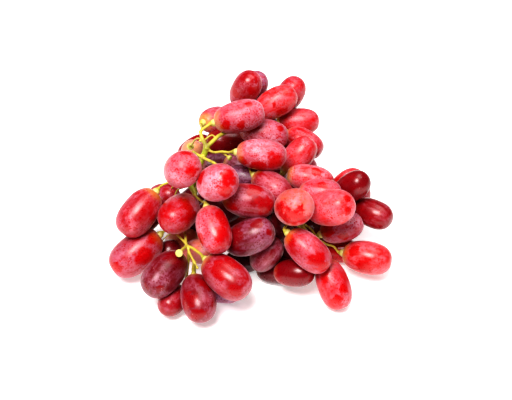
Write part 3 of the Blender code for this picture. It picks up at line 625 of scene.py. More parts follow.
middle = AIM + move
camera = bpy.data.objects.new("camera", bpy.data.cameras.new("camera"))
camera.location = middle + NEAR * VIEW_DISTANCE
camera.data.lens = LENS
camera.data.clip_start = 10 * MM
aim_object(camera, middle)
bpy.context.scene.collection.objects.link(camera)
bpy.context.scene.camera = camera
print("camera stands at", [round(c, 3) for c in camera.location])

# %% Light
# name, place, size in metres and power in watts
LAMPS = [
    ("eye_lamp", (-0.18, -0.42, 0.92), 0.42, 8.8),
    ("top_lamp", (0.25, 0.20, 0.98), 0.6, 3.2),
]
SURROUND = 0.07


def add_lamp(name, place, size, power):
    lamp = bpy.data.lights.new(name, "AREA")
    lamp.size = size
    lamp.energy = power
    holder = bpy.data.objects.new(name, lamp)
    holder.location = place
    aim_object(holder, (0.0, 0.0, AIM_HEIGHT))
    bpy.context.scene.collection.objects.link(holder)


for row in LAMPS:
    add_lamp(*row)
world = bpy.data.worlds.new("white_surround")
world.use_nodes = True
background = world.node_tree.nodes["Background"]
background.inputs["Color"].default_value = (1.0, 1.0, 1.0, 1.0)
background.inputs["Strength"].default_value = SURROUND
bpy.context.scene.world = world
bpy.context.scene.view_settings.view_transform = "Standard"
bpy.context.scene.view_settings.look = "High Contrast"
bpy.context.scene.view_settings.exposure = 0.3
print(len(LAMPS), "lamps and a white surround")

# %% Node helpers
class Value:
    """A node's output that adds, subtracts and multiplies like a number."""

    def __init__(self, tree, socket):
        self.tree = tree
        self.socket = socket

    def __add__(self, other):
        return calc(self.tree, "ADD", self, other)

    def __sub__(self, other):
        return calc(self.tree, "SUBTRACT", self, other)

    def __rsub__(self, other):
        return calc(self.tree, "SUBTRACT", other, self)

    def __mul__(self, other):
        return calc(self.tree, "MULTIPLY", self, other)

    def __truediv__(self, other):
        return calc(self.tree, "DIVIDE", self, other)

    __radd__ = __add__
    __rmul__ = __mul__


def add_node(tree, kind, **settings):
    """A new node with some of its settings made."""
    made = tree.nodes.new(kind)
    for name, value in settings.items():
        setattr(made, name, value)
    return made


def feed(tree, socket, value):
    """Links a socket to another one, or sets it to a plain value."""
    if isinstance(value, Value):
        value = value.socket
    if isinstance(value, bpy.types.NodeSocket):
        tree.links.new(value, socket)
    else:
        socket.default_value = value


def node(tree, kind, *values, **named):
    """A new node fed in the order of its inputs, or by their names."""
    made = add_node(tree, kind)
    for socket, value in zip(made.inputs, values):
        feed(tree, socket, value)
    for label, value in named.items():
        feed(tree, made.inputs[label.replace("_", " ")], value)
    return made.outputs


def calc(tree, operation, *values):
    """One step of arithmetic."""
    made = add_node(tree, "ShaderNodeMath", operation=operation)
    for socket, value in zip(made.inputs, values):
        feed(tree, socket, value)
    return Value(tree, made.outputs[0])


def vector_calc(tree, operation, *values):
    made = add_node(tree, "ShaderNodeVectorMath", operation=operation)
    for socket, value in zip(made.inputs, values):
        feed(tree, socket, value)
    if operation == "DISTANCE":
        return Value(tree, made.outputs["Value"])
    return made.outputs["Vector"]


def combine(tree, x, y, z):
    return node(tree, "ShaderNodeCombineXYZ", x, y, z)[0]


def split(tree, vector):
    return [Value(tree, part) for part in node(tree, "ShaderNodeSeparateXYZ", vector)]


def ramp(tree, value, low, high):
    """0 below low, 1 above high, and a smooth rise between; low may be the larger."""
    made = add_node(tree, "ShaderNodeMapRange", interpolation_type="SMOOTHSTEP")
    feed(tree, made.inputs["Value"], value)
    feed(tree, made.inputs["From Min"], low)
    feed(tree, made.inputs["From Max"], high)
    return Value(tree, made.outputs["Result"])


def noise(tree, place, scale, detail=3.0, distortion=0.0):
    made = node(tree, "ShaderNodeTexNoise", Vector=place, Scale=scale, Detail=detail, Distortion=distortion)
    return Value(tree, made["Fac"])


def blend_colour(tree, amount, first, second):
    made = add_node(tree, "ShaderNodeMix", data_type="RGBA")
    feed(tree, made.inputs[0], amount)
    feed(tree, made.inputs[6], first)
    feed(tree, made.inputs[7], second)
    return made.outputs[2]


def attribute(tree, name):
    """A value that each point of the mesh carries, as a vector."""
    return add_node(tree, "ShaderNodeAttribute", attribute_name=name).outputs["Vector"]


def new_material(name, **settings):
    """A material with some of its shader's values set, its node tree and its shader."""
    material = bpy.data.materials.new(name)
    material.use_nodes = True
    shader = material.node_tree.nodes["Principled BSDF"]
    for label, value in settings.items():
        shader.inputs[label.replace("_", " ")].default_value = value
    return material, material.node_tree, shader


def add_bump(tree, shader, height, strength, distance):
    bump = node(tree, "ShaderNodeBump", Height=height, Strength=strength, Distance=distance)
    feed(tree, shader.inputs["Normal"], bump["Normal"])


print("helpers ready")

# %% [markdown]
# ## The floor
#
# A plain white sheet, only to catch the soft shadow under the bunch. It glows a little, so that the
# shadow stays light. It isn't part of the object.

# %% Floor
FLOOR_SIZE = 3.0
FLOOR_TONES = [(0.93, 0.93, 0.93, 1), (0.96, 0.96, 0.955, 1)]


def make_floor():
    half = FLOOR_SIZE / 2
    corners = [(-half, -half, 0), (half, -half, 0), (half, half, 0), (-half, half, 0)]
    mesh = bpy.data.meshes.new("floor")
    mesh.from_pydata(corners, [], [(0, 1, 2, 3)])
    floor = bpy.data.objects.new("floor", mesh)
    bpy.context.scene.collection.objects.link(floor)
    material, tree, shader = new_material(
        "floor_white", Roughness=0.8, Specular_IOR_Level=0.2,
        Emission_Color=(1.0, 1.0, 1.0, 1.0), Emission_Strength=0.25)
    place = add_node(tree, "ShaderNodeTexCoord").outputs["Object"]
    feed(tree, shader.inputs["Base Color"], blend_colour(tree, noise(tree, place, 3.0), *FLOOR_TONES))
    mesh.materials.append(material)


make_floor()
print("floor laid")

# %% [markdown]
# ## The skin of each berry
#
# No two berries are alike. Each has a tone, from dark maroon to peach, a coat of pale wax called
# bloom, pink on some and bluish on others, and a yellow-green halo round the stem. Where fingers and
# neighbours rubbed the bloom off, the clear red skin shows. Values like these could be painted on an
# image, but a few numbers a berry, read by the material, stay sharp and can be changed.
# The table gives tone, bloom, blueness and halo, each from 0 to 1. A berry deep in shade gets a near-black
# tone, which is painted shade.

# %% Tone of the seen berries
SKIN = {
    "top_back": (0.50, 0.85, 0.75, 0.2),
    "crown_back": (0.58, 0.55, 0.25, 0.3),
    "top": (0.50, 0.60, 0.20, 0.5),
    "crown": (0.70, 0.55, 0.05, 0.3),
    "right_high": (0.58, 0.45, 0.15, 0.3),
    "right_second": (0.56, 0.52, 0.10, 0.3),
    "right_third": (0.52, 0.55, 0.20, 0.3),
    "left_high": (0.60, 0.78, 0.20, 0.9),
    "far_right_small": (0.66, 0.50, 0.10, 0.3),
    "far_right_dark": (0.32, 0.20, 0.30, 0.3),
    "far_right_low": (0.34, 0.25, 0.30, 0.2),
    "fork_dark": (0.30, 0.05, 0.30, 0.2),
    "fork_left": (0.98, 0.40, 0.10, 0.4),
    "fork_outer": (0.42, 0.15, 0.30, 0.3),
    "dusky_left": (0.14, 0.62, 0.90, 0.3),
    "dusky_right": (0.20, 0.55, 0.75, 0.8),
    "dusky_low": (0.10, 0.62, 1.00, 0.2),
    "under_crown": (0.48, 0.70, 0.35, 0.3),
    "right_bright": (0.66, 0.55, 0.05, 1.0),
    "upper_long": (0.56, 0.72, 0.25, 0.7),
    "middle_long": (0.52, 0.72, 0.15, 0.6),
    "right_shelf": (0.66, 0.60, 0.05, 0.9),
    "right_shelf_low": (0.58, 0.70, 0.20, 0.3),
    "middle_slanted": (0.42, 0.55, 0.25, 0.7),
    "right_dark_low": (0.46, 0.10, 0.00, 0.5),
    "right_speckled": (0.50, 0.72, 0.40, 0.4),
    "low_dark": (0.28, 0.45, 0.60, 0.2),
    "low_dark_front": (0.10, 0.05, 0.30, 0.2),
    "low_dark_right": (0.34, 0.12, 0.30, 0.2),
    "hanging_right": (0.58, 0.50, 0.35, 0.3),
    "outer_right": (0.66, 0.50, 0.00, 1.0),
    # the darkest tone and no bloom here are painted shade, for a berry that lies deep in shade
    "notch_dark": (0.00, 0.00, 0.30, 0.0),
    "right_coral": (0.72, 0.56, 0.12, 0.7),
    "centre_wide": (0.40, 0.58, 0.30, 0.6),
    "centre_purple": (0.26, 0.58, 0.75, 0.2),
    "right_slanted": (0.52, 0.58, 0.40, 0.6),
    "facing_peach": (0.88, 0.66, 0.00, 0.3),
    "left_gap_small": (0.45, 0.60, 0.50, 0.5),
    "left_shadow": (0.25, 0.10, 0.30, 0.3),
    "left_inner": (0.95, 0.25, 0.10, 1.0),
    "left_inner_low": (0.85, 0.45, 0.15, 1.0),
    "left_between": (0.28, 0.30, 0.60, 0.2),
    "front_low_left": (0.38, 0.35, 0.45, 0.2),
    "front_low_blue": (0.30, 0.85, 1.00, 0.2),
    "outer_left_low": (0.50, 0.62, 0.40, 0.3),
    "front_purple": (0.20, 0.42, 0.60, 0.2),
    "outer_left": (0.50, 0.54, 0.25, 0.7),
    "front_lowest": (0.34, 0.48, 0.50, 0.6),
    "front_large": (0.42, 0.46, 0.40, 0.8),
    "front_upright": (0.56, 0.64, 0.25, 0.3),
    "left_front": (0.56, 0.54, 0.35, 0.2),
    "facing_pink": (0.56, 0.76, 0.25, 0.2),
    "facing_left": (0.58, 0.68, 0.22, 0.2),
}

# where the bloom is rubbed off each berry: across, up and radius in millimetres
RUBBED = {
    "facing_left": [(-45.6, 19.0, 3.2), (-35.5, 15.6, 3.8), (-36.4, 23.6, 3.6)],
    "facing_pink": [(-29.6, 12.0, 3.6), (-17.0, 5.8, 4.4), (-14.4, 11.6, 4.6)],
    "middle_long": [(10.4, 20.6, 4.4), (-8.2, 19.4, 4.2), (1.6, 17.4, 4.6)],
    "centre_wide": [(-0.4, 6.2, 4.4), (6.0, -3.2, 5.0), (-14.6, -3.0, 4.6)],
    "left_front": [(-38.1, -3.2, 4.2), (-35.6, -9.0, 4.6), (-47.5, -2.5, 2.2)],
    "front_upright": [(-17.6, -9.7, 4.6), (-18.6, -17.6, 4.2), (-30.0, -20.5, 2.6)],
    "centre_purple": [(-11.6, -19.6, 4.8), (0.4, -12.4, 3.2), (7.6, -17.6, 2.0)],
    "facing_peach": [(14.8, -4.2, 4.4), (19.6, -7.0, 5.6), (24.4, -7.6, 4.4)],
    "right_coral": [(48.0, 0.8, 2.2), (48.8, -6.7, 2.0), (39.9, -7.3, 1.9)],
    "right_shelf": [(33.3, 15.0, 3.0), (40.0, 9.8, 2.4)],
    "right_shelf_low": [(35.7, 7.7, 2.4)],
    "right_speckled": [(38.0, -16.0, 4.0), (46.5, -20.0, 3.0)],
    "right_slanted": [(17.5, -21.0, 3.0), (32.6, -31.6, 4.8), (36.4, -36.2, 3.6)],
    "hanging_right": [(36.6, -41.1, 2.5), (46.6, -46.5, 3.0), (42.3, -53.0, 3.4)],
    "outer_right": [(52.6, -26.6, 3.2), (58.0, -36.0, 4.6), (65.5, -27.5, 2.4)],
    "upper_long": [(-7.4, 39.4, 3.4), (-16.4, 38.4, 3.0), (-4.2, 51.8, 2.2)],
    "under_crown": [(-3.4, 38.0, 3.0), (12.6, 38.0, 2.2)],
    "crown": [(14.1, 47.1, 3.4), (9.6, 50.6, 1.4)],
    "top": [(-0.8, 58.6, 3.6), (-11.0, 57.6, 2.8)],
    "outer_left_low": [(-74.0, -36.0, 4.0), (-58.3, -29.4, 5.4), (-55.2, -20.0, 3.8)],
    "front_purple": [(-45.4, -30.6, 4.0), (-50.5, -46.0, 2.6), (-58.2, -45.8, 2.0)],
    "front_lowest": [(-35.0, -53.6, 4.4), (-31.0, -60.6, 3.8), (-26.6, -45.6, 3.6)],
    "front_large": [(-11.2, -49.0, 4.0), (-19.5, -37.0, 4.6), (-12.8, -33.4, 4.0)],
}
PATCHES = 3
print(len(SKIN), "skins,", sum(len(spots) for spots in RUBBED.values()), "rubbed patches")

# %% [markdown]
# ## One point for each berry
#
# The bunch is first only a cloud of points, one at the middle of each berry. Each point carries what
# its berry needs: direction, size, skin and rubbed patches. Geometry Nodes then put a berry on every
# point, and the material reads the same values later, because they stay on the finished mesh.

# %% Points that carry the berries' values
SKIN_SEED = 5
# the berries behind that fill the dark gaps, whose near-black colour is painted shade
PAINTED_SHADE_NAMES = ["hidden_%d" % number for number in range(len(DARK_GAPS))]
FAR_AWAY = 1.0
NEAR_RIM = 0.92


def spot_on_skin(heap, i, across, up):
    """Where a line of sight meets the near side of a berry."""
    depth = (heap.mid[i] - AIM) @ NEAR
    rel = from_picture(across * MM, up * MM, depth) - heap.mid[i]
    at = np.clip(rel @ heap.axis[i], -heap.half[i], heap.half[i])
    away = rel - at * heap.axis[i]
    away = away - NEAR * (away @ NEAR)
    size = np.linalg.norm(away)
    if size > NEAR_RIM * heap.radius[i]:
        away = away * NEAR_RIM * heap.radius[i] / size
    rise = math.sqrt(heap.radius[i] ** 2 - away @ away)
    return heap.mid[i] + at * heap.axis[i] + away + NEAR * rise


def berry_values(heap, move):
    """The values each point carries, by name, as rows of three numbers."""
    count = len(heap.names)
    draw = np.random.default_rng(SKIN_SEED)
    skin = np.zeros((count, 3))
    touch = np.zeros((count, 3))
    for i, name in enumerate(heap.names):
        chance = draw.uniform(0, 1, 4)
        if name in SKIN:
            tone, bloom, blue, halo = SKIN[name]
        # berries in the dark gaps get a near-black tone and almost no bloom: painted shade for the shade
        # there
        elif name in PAINTED_SHADE_NAMES:
            tone, bloom, blue, halo = 0.04 + 0.1 * chance[0], 0.1, 0.7 * chance[2], 0.0
        else:
            tone, bloom, blue, halo = 0.2 + 0.5 * chance[0], 0.25 + 0.55 * chance[1], 0.7 * chance[2], 0.5
        skin[i] = tone, bloom, blue
        touch[i] = halo, chance[3], 0.0
    rubbed = np.full((PATCHES, count, 3), FAR_AWAY)
    sizes = np.full((count, 3), 0.1 * MM)
    for name, spots in RUBBED.items():
        i = heap.names.index(name)
        for slot, (across, up, size) in enumerate(spots):
            rubbed[slot, i] = spot_on_skin(heap, i, across, up) + move
            sizes[i, slot] = size * MM
    values = {
        "axis": heap.axis,
        "size": np.column_stack([heap.radius, heap.radius, heap.full]),
        "turn": np.column_stack([draw.uniform(0, 2 * math.pi, count)] * 3),
        "skin": skin,
        "touch": touch,
        "rubbed_size": sizes,
    }
    for slot in range(PATCHES):
        values["rubbed_%d" % slot] = rubbed[slot]
    return values


def make_points(name, places, values, rows):
    mesh = bpy.data.meshes.new(name)
    mesh.from_pydata([tuple(p) for p in places[rows]], [], [])
    for label, table in values.items():
        layer = mesh.attributes.new(label, "FLOAT_VECTOR", "POINT")
        layer.data.foreach_set("vector", table[rows].ravel())
    thing = bpy.data.objects.new(name, mesh)
    bpy.context.scene.collection.objects.link(thing)
    return thing


values = berry_values(heap, move)
print("values carried:", ", ".join(values))

# %% [markdown]
# ## The grape skin material
#
# Three layers, from below: the clear skin, whose colour follows the berry's tone with a slow change
# over it; the bloom, a thin pale wax in patches with crisp edges and tiny pores, missing where it was
# rubbed off; and the ends, a yellow-green halo at the stem and a small brown scar at the blossom end.
# The skin is smooth and the bloom is dull, so the same mask drives both colour and gloss.

# %% Grape skin material
# tone, then the colour of the clear skin at that tone
TONES = [
    (0.00, (0.055, 0.001, 0.005)),
    (0.30, (0.210, 0.001, 0.006)),
    (0.55, (0.520, 0.001, 0.004)),
    (0.75, (0.680, 0.014, 0.008)),
    (1.00, (0.600, 0.270, 0.150)),
]
RUBBED_TONE = 0.58
WAX_PINK = (0.64, 0.190, 0.250, 1)
WAX_BLUE = (0.36, 0.160, 0.28, 1)
WAX_THICK = (0.78, 0.42, 0.52, 1)
FLECK_RED = (0.16, 0.001, 0.006, 1)
SPECK_PALE = (0.85, 0.45, 0.40, 1)
HALO_YELLOW = (0.72, 0.33, 0.06, 1)
SCAR_BROWN = (0.12, 0.05, 0.02, 1)
# how many bumps or dots of each pattern there are to the metre
BROAD, PATCHY, MIDDLE, GRITTY, FINE = 55.0, 120.0, 190.0, 620.0, 900.0
SLOW_WAX, WARP, PORES, SPECKS = 85.0, 170.0, 850.0, 300.0


def tone_colour(tree, value):
    made = add_node(tree, "ShaderNodeValToRGB")
    steps = made.color_ramp.elements
    while len(steps) < len(TONES):
        steps.new(0.5)
    for step, (place, colour) in zip(steps, TONES):
        step.position = place
        step.color = (*colour, 1.0)
    feed(tree, made.inputs[0], value)
    return made.outputs["Color"]


def warped(tree, place, scale, size):
    """The place moved about by a slow noise, so that round shapes come out uneven."""
    made = node(tree, "ShaderNodeTexNoise", Vector=place, Scale=scale, Detail=2.0)
    off = vector_calc(tree, "SUBTRACT", made["Color"], (0.5, 0.5, 0.5))
    return vector_calc(tree, "ADD", place, vector_calc(tree, "MULTIPLY", off, (size, size, size)))


def rubbed_mask(tree, place, ragged):
    """1 where the bloom is rubbed off, 0 elsewhere, with ragged edges."""
    place = warped(tree, place, WARP, 6.0 * MM)
    sizes = split(tree, attribute(tree, "rubbed_size"))
    nearest = None
    for slot in range(PATCHES):
        far = vector_calc(tree, "DISTANCE", place, attribute(tree, "rubbed_%d" % slot)) / sizes[slot]
        nearest = far if nearest is None else calc(tree, "MINIMUM", nearest, far)
    return ramp(tree, nearest + (ragged - 0.5) * 2.8, 1.22, 0.82)


def dots(tree, place, scale, size, soft):
    """Small round dots scattered evenly."""
    made = node(tree, "ShaderNodeTexVoronoi", Vector=place, Scale=scale)
    return ramp(tree, made["Distance"], size + soft, size)


def skin_material():
    material, tree, shader = new_material(
        "grape_skin", Specular_IOR_Level=0.48, Subsurface_Weight=0.12,
        Subsurface_Radius=(1.0, 0.22, 0.15), Subsurface_Scale=3.5 * MM,
        Sheen_Roughness=0.35, Sheen_Tint=(1.0, 0.72, 0.78, 1.0))
    place = add_node(tree, "ShaderNodeTexCoord").outputs["Object"]
    tone, bloom, blue = split(tree, attribute(tree, "skin"))
    halo, chance, _ = split(tree, attribute(tree, "touch"))
    on_berry = attribute(tree, "place")
    along = split(tree, on_berry)[2]

    # the patterns, from slow to fine; streaks are drawn out along the berry
    broad = noise(tree, place, BROAD, 4.0, 0.6)
    patches = noise(tree, place, PATCHY, 5.0, 0.8)
    middle = noise(tree, place, MIDDLE, 4.0, 0.4)
    fine = noise(tree, place, FINE, 3.0)
    grit = noise(tree, place, GRITTY, 3.0)
    slow_wax = noise(tree, vector_calc(tree, "ADD", place, (0.3, 0.1, 0.7)), SLOW_WAX, 3.0)
    drawn_out = vector_calc(tree, "MULTIPLY", on_berry, (5.0, 5.0, 1.3))
    apart = chance * 60.0
    streaks = noise(tree, vector_calc(tree, "ADD", drawn_out, combine(tree, apart, apart, apart)), 1.0, 5.0)

    # the clear skin, nearer to plain red where it is rubbed
    ragged = patches * 0.35 + middle * 0.10 + streaks * 0.25 + grit * 0.30
    rubbed = rubbed_mask(tree, place, ragged)
    tone = tone + (broad - 0.5) * 0.35
    off = RUBBED_TONE - tone
    off = calc(tree, "MINIMUM", off * 0.25, off * 0.9)
    clear = tone_colour(tree, tone + off * rubbed)

    # the bloom: patches with pores and grain, missing where it is rubbed off
    patchy = broad * 0.25 + patches * 0.30 + streaks * 0.25 + grit * 0.20 + (bloom - 0.5) * 0.26
    waxed = ramp(tree, patchy, 0.42, 0.58) * (1.0 - rubbed)
    pores = dots(tree, place, PORES, 0.26, 0.20) * ramp(tree, middle, 0.38, 0.54)
    grain = ramp(tree, grit, 0.46, 0.62)
    waxed = waxed * (1.0 - pores * 0.90) * (1.0 - grain * 0.50) * (0.20 + bloom * 0.80)
    thick = ramp(tree, broad * 0.5 + slow_wax * 0.5, 0.50, 0.62) * bloom
    wax_colour = blend_colour(tree, thick, blend_colour(tree, blue, WAX_PINK, WAX_BLUE), WAX_THICK)
    colour = blend_colour(tree, waxed, clear, wax_colour)

    # flecks, specks, the halo at the stem and the scar at the blossom end
    colour = blend_colour(tree, ramp(tree, fine, 0.60, 0.72) * 0.5, colour, FLECK_RED)
    colour = blend_colour(tree, dots(tree, place, SPECKS, 0.05, 0.05) * 0.3, colour, SPECK_PALE)
    ring = ramp(tree, along + (middle - 0.5) * 0.35, -0.62, -0.98) * halo
    colour = blend_colour(tree, ring * 0.8, colour, HALO_YELLOW)
    colour = blend_colour(tree, ramp(tree, along, 0.990, 0.997), colour, SCAR_BROWN)

    feed(tree, shader.inputs["Base Color"], colour)
    feed(tree, shader.inputs["Roughness"], 0.25 + waxed * 0.40 + fine * 0.06)
    feed(tree, shader.inputs["Sheen Weight"], 0.03 + waxed * 0.75)
    add_bump(tree, shader, middle + waxed * 0.4, 0.35, 0.12 * MM)
    return material


grape_skin = skin_material()
print("skin material has", len(grape_skin.node_tree.nodes), "nodes")

# %% [markdown]
# ## One berry, many times
#
# A sculpted berry could be copied by hand, but the shape follows a rule: a ball drawn out to one and
# a half times its width, fuller than an egg, a little narrower at the stem, with a dimple there.
# So the tree starts from a sphere, reshapes it by that rule, sets one on each point, turned and
# scaled by the values on the point, and gives each its own slight lumps. What would go through the
# table is flattened onto it, as a real berry is pressed.

# %% Geometry Nodes for the berries
BERRY_FULLNESS = 2.35
STEM_END_TAPER = 0.07
DIMPLE_WIDTH = 0.24
SCAR_DEPTH = 0.012


def new_tree(name, **kinds):
    """A Geometry Nodes tree with named inputs, and its input and output nodes."""
    tree = bpy.data.node_groups.new(name, "GeometryNodeTree")
    tree.is_modifier = True
    tree.interface.new_socket("Geometry", in_out="INPUT", socket_type="NodeSocketGeometry")
    for label, kind in kinds.items():
        tree.interface.new_socket(label.replace("_", " "), in_out="INPUT", socket_type="NodeSocket" + kind)
    tree.interface.new_socket("Geometry", in_out="OUTPUT", socket_type="NodeSocketGeometry")
    return tree, add_node(tree, "NodeGroupInput").outputs, add_node(tree, "NodeGroupOutput").inputs


def carried(tree, name):
    """A named value of each point, as a vector."""
    made = add_node(tree, "GeometryNodeInputNamedAttribute", data_type="FLOAT_VECTOR")
    made.inputs["Name"].default_value = name
    return made.outputs["Attribute"]


def position(tree):
    return add_node(tree, "GeometryNodeInputPosition").outputs[0]


def berry_shape(tree, given):
    """The unit berry: a sphere reshaped by rule, which remembers its own coordinates."""
    ball = node(tree, "GeometryNodeMeshUVSphere", Segments=given["Around"], Rings=given["Bands"])
    x, y, along = split(tree, position(tree))
    ball_width = calc(tree, "SQRT", calc(tree, "MAXIMUM", 1.0 - along * along, 1e-6))
    power = calc(tree, "POWER", calc(tree, "ABSOLUTE", along), given["Fullness"])
    root = calc(tree, "DIVIDE", 1.0, given["Fullness"])
    body = calc(tree, "POWER", calc(tree, "MAXIMUM", 1.0 - power, 0.0), root)
    wider = body * (1.0 + (along - 0.3) * (STEM_END_TAPER / 2)) / ball_width
    narrow = body / DIMPLE_WIDTH
    hollow = calc(tree, "EXPONENT", narrow * narrow * -1.0)
    dimple = hollow * given["Dimple"] * calc(tree, "LESS_THAN", along, 0.0)
    scar = hollow * -SCAR_DEPTH * calc(tree, "GREATER_THAN", along, 0.0)
    place = combine(tree, x * wider, y * wider, along + dimple + scar)
    shaped = node(tree, "GeometryNodeSetPosition", ball["Mesh"], Position=place)[0]
    store = add_node(tree, "GeometryNodeStoreNamedAttribute", data_type="FLOAT_VECTOR", domain="POINT")
    feed(tree, store.inputs["Geometry"], shaped)
    store.inputs["Name"].default_value = "place"
    feed(tree, store.inputs["Value"], position(tree))
    return store.outputs["Geometry"]


def berries_tree():
    tree, given, result = new_tree(
        "berries_on_points", Around="Int", Bands="Int", Fullness="Float", Dimple="Float",
        Lump_Height="Float", Lumps_Per_Metre="Float", Material="Material")
    berry = berry_shape(tree, given)
    point_out = add_node(tree, "FunctionNodeAlignRotationToVector", axis="Z")
    feed(tree, point_out.inputs["Vector"], carried(tree, "axis"))
    turn = split(tree, carried(tree, "turn"))[0]
    turn = node(tree, "FunctionNodeAxisAngleToRotation", Axis=(0.0, 0.0, 1.0), Angle=turn)[0]
    turned = add_node(tree, "FunctionNodeRotateRotation", rotation_space="LOCAL")
    feed(tree, turned.inputs["Rotation"], point_out.outputs[0])
    feed(tree, turned.inputs["Rotate By"], turn)
    laid = node(tree, "GeometryNodeInstanceOnPoints", Points=given["Geometry"], Instance=berry,
                Rotation=turned.outputs[0], Scale=carried(tree, "size"))[0]
    whole = node(tree, "GeometryNodeRealizeInstances", laid)[0]
    lump = (noise(tree, position(tree), given["Lumps Per Metre"], 2.0) - 0.5) * given["Lump Height"]
    outward = add_node(tree, "GeometryNodeInputNormal").outputs[0]
    off = vector_calc(tree, "MULTIPLY", outward, combine(tree, lump, lump, lump))
    lumpy = node(tree, "GeometryNodeSetPosition", whole, Offset=off)[0]
    x, y, z = split(tree, position(tree))
    on_table = combine(tree, x, y, calc(tree, "MAXIMUM", z, 0.0))
    pressed = node(tree, "GeometryNodeSetPosition", lumpy, Position=on_table)[0]
    smooth = node(tree, "GeometryNodeSetShadeSmooth", pressed)[0]
    feed(tree, result[0], node(tree, "GeometryNodeSetMaterial", smooth, Material=given["Material"])[0])
    return tree


grow_berries = berries_tree()
print("berry tree has", len(grow_berries.nodes), "nodes")

# %% Grow the berries
def set_inputs(modifier, **values):
    """Sets a modifier's inputs by their labels, found by each socket's identifier."""
    for item in modifier.node_group.interface.items_tree:
        label = item.name.replace(" ", "_")
        if item.in_out == "INPUT" and label in values:
            modifier[item.identifier] = values[label]


def freeze(thing):
    """Turns what the modifiers show into a plain mesh and removes them."""
    bpy.context.view_layer.update()
    graph = bpy.context.evaluated_depsgraph_get()
    mesh = bpy.data.meshes.new_from_object(
        thing.evaluated_get(graph), preserve_all_data_layers=True, depsgraph=graph)
    thing.modifiers.clear()
    thing.data = mesh
    mesh.name = thing.name
    return thing


def triangles(thing):
    thing.data.calc_loop_triangles()
    return len(thing.data.loop_triangles)


def berry_piece(name, rows, around, bands):
    piece = make_points(name, heap.mid + move, values, rows)
    grower = piece.modifiers.new("berries", "NODES")
    grower.node_group = grow_berries
    set_inputs(grower, Around=around, Bands=bands, Fullness=BERRY_FULLNESS, Dimple=0.05,
               Lump_Height=0.9 * MM, Lumps_Per_Metre=75.0, Material=grape_skin)
    freeze(piece)
    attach(piece, "root")
    return piece


everyone = np.arange(len(heap.names))
seen_piece = berry_piece("berries_seen", everyone[:seen_count], 44, 28)
back_piece = berry_piece("berries_behind", everyone[seen_count:], 36, 22)
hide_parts("berries")
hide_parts("berries")
print("berries_seen has", triangles(seen_piece), "triangles, berries_behind", triangles(back_piece))

# %% [markdown]
# ## The side stems
#
# Every berry hangs on its own short stem, which widens into a collar where it meets the fruit. The
# ones that show are led through points read off the picture. The rest run from the nearest main
# stem by rule, pushed clear of the berries. A few have lost their berry and end in a pale knob.

# %% Side stems
COLLAR_RADIUS = 2.1 * MM
COLLAR_LENGTH = 2.2 * MM
TWIG_ELBOW = 4 * MM
TWIG_STARTS = 8
CUT_END_STARTS = 6
COVERING = 0.97
PUSH_ROUNDS = 40
PUSH_FROM = 0.02 * MM
PUSH_EXTRA = 0.05 * MM
WORST_END = 1.2 * MM
EASE = 0.05
TWIG_RADIUS = 0.85 * MM
TWIG_LONGEST = 34 * MM

# side stems that the picture shows: berry, radius, depth at the start, then across and up of points
SEEN_TWIGS = [
    ("upper_long", 0.9, 2, [(-30.0, 36.8), (-28.5, 38.5), (-25.7, 40.3)]),
    ("left_high", 0.7, 2, [(-30.0, 36.8), (-29.4, 38.8)]),
    ("fork_left", 0.6, 2, [(-28.9, 32.9), (-31.4, 33.3), (-33.5, 32.0), (-34.5, 30.0)]),
    ("middle_long", 0.75, 1, [(-26.0, 27.2), (-22.6, 25.7), (-18.5, 26.1), (-14.9, 25.7)]),
    ("facing_pink", 0.85, -1, [(-34.2, 26.0), (-28.9, 23.0), (-25.4, 21.3), (-21.9, 19.4), (-20.3, 16.5)]),
    ("middle_slanted", 0.6, -8, [(-6.8, 14.6), (-4.1, 13.9)]),
    ("front_upright", 0.7, 1, [(-33.2, 2.7), (-31.4, 0.9), (-28.9, -0.9)]),
    ("outer_left", 0.7, -2, [(-36.0, 9.0), (-44.0, 9.8), (-49.0, 8.8), (-51.6, 7.3)]),
    ("left_gap_small", 0.55, -2, [(-36.0, 9.0), (-43.4, 8.3), (-45.6, 6.0), (-46.6, 4.2)]),
    ("outer_left_low", 0.65, 12, [(-37.6, -24.0), (-40.5, -20.8), (-43.3, -18.2), (-47.0, -16.4)]),
    ("front_large", 0.85, 12, [(-37.4, -24.8), (-34.6, -25.8), (-32.0, -27.6), (-29.6, -29.4)]),
    ("front_lowest", 0.6, 18, [(-33.4, -33.3), (-34.0, -35.4), (-34.3, -37.6)]),
    ("right_slanted", 0.7, 2, [(20.5, -8.8), (17.5, -12.2)]),
    ("outer_right", 0.65, 2, [(21.0, -8.5), (25.4, -12.6), (30.0, -15.8), (33.8, -21.6), (38.6, -22.6),
                              (42.0, -25.0)]),
]

# stems with no berry: radius, radius at the end, then across, up and depth of each point
EMPTY_STEMS = [
    (0.85, 2.0, [(-37.5, -24.8, 12), (-38.9, -26.0, 16), (-40.4, -27.5, 21), (-41.7, -29.0, 26)]),
    (0.6, 1.5, [(-18.9, 26.0, 3), (-16.2, 24.2, 4), (-13.7, 22.4, 6)]),
    (0.5, 0.8, [(-33.4, -33.6, 18), (-32.5, -34.8, 18.5), (-31.4, -37.3, 19)]),
    (0.5, 0.8, [(-29.2, 33.4, 2), (-30.6, 31.4, 2)]),
    (0.5, 0.6, [(-21.5, 33.4, 0), (-23.6, 35.0, 0), (-26.2, 33.7, 0), (-28.2, 31.8, 1.5)]),
    (0.5, 0.5, [(-35.6, 7.8, -2), (-39.4, 6.6, -1), (-42.4, 5.4, -1), (-43.9, 2.2, -2)]),
    (0.4, 0.4, [(-43.3, -18.2, 6), (-46.3, -18.4, 0), (-49.2, -20.4, -3), (-51.5, -23.0, -5)]),
]


def collar_of(heap, i):
    """Stem end of a berry, and the point where its side stem widens to meet it."""
    stem_end = heap.mid[i] - heap.axis[i] * heap.full[i]
    return stem_end, stem_end - heap.axis[i] * (COLLAR_LENGTH + CLEAR)


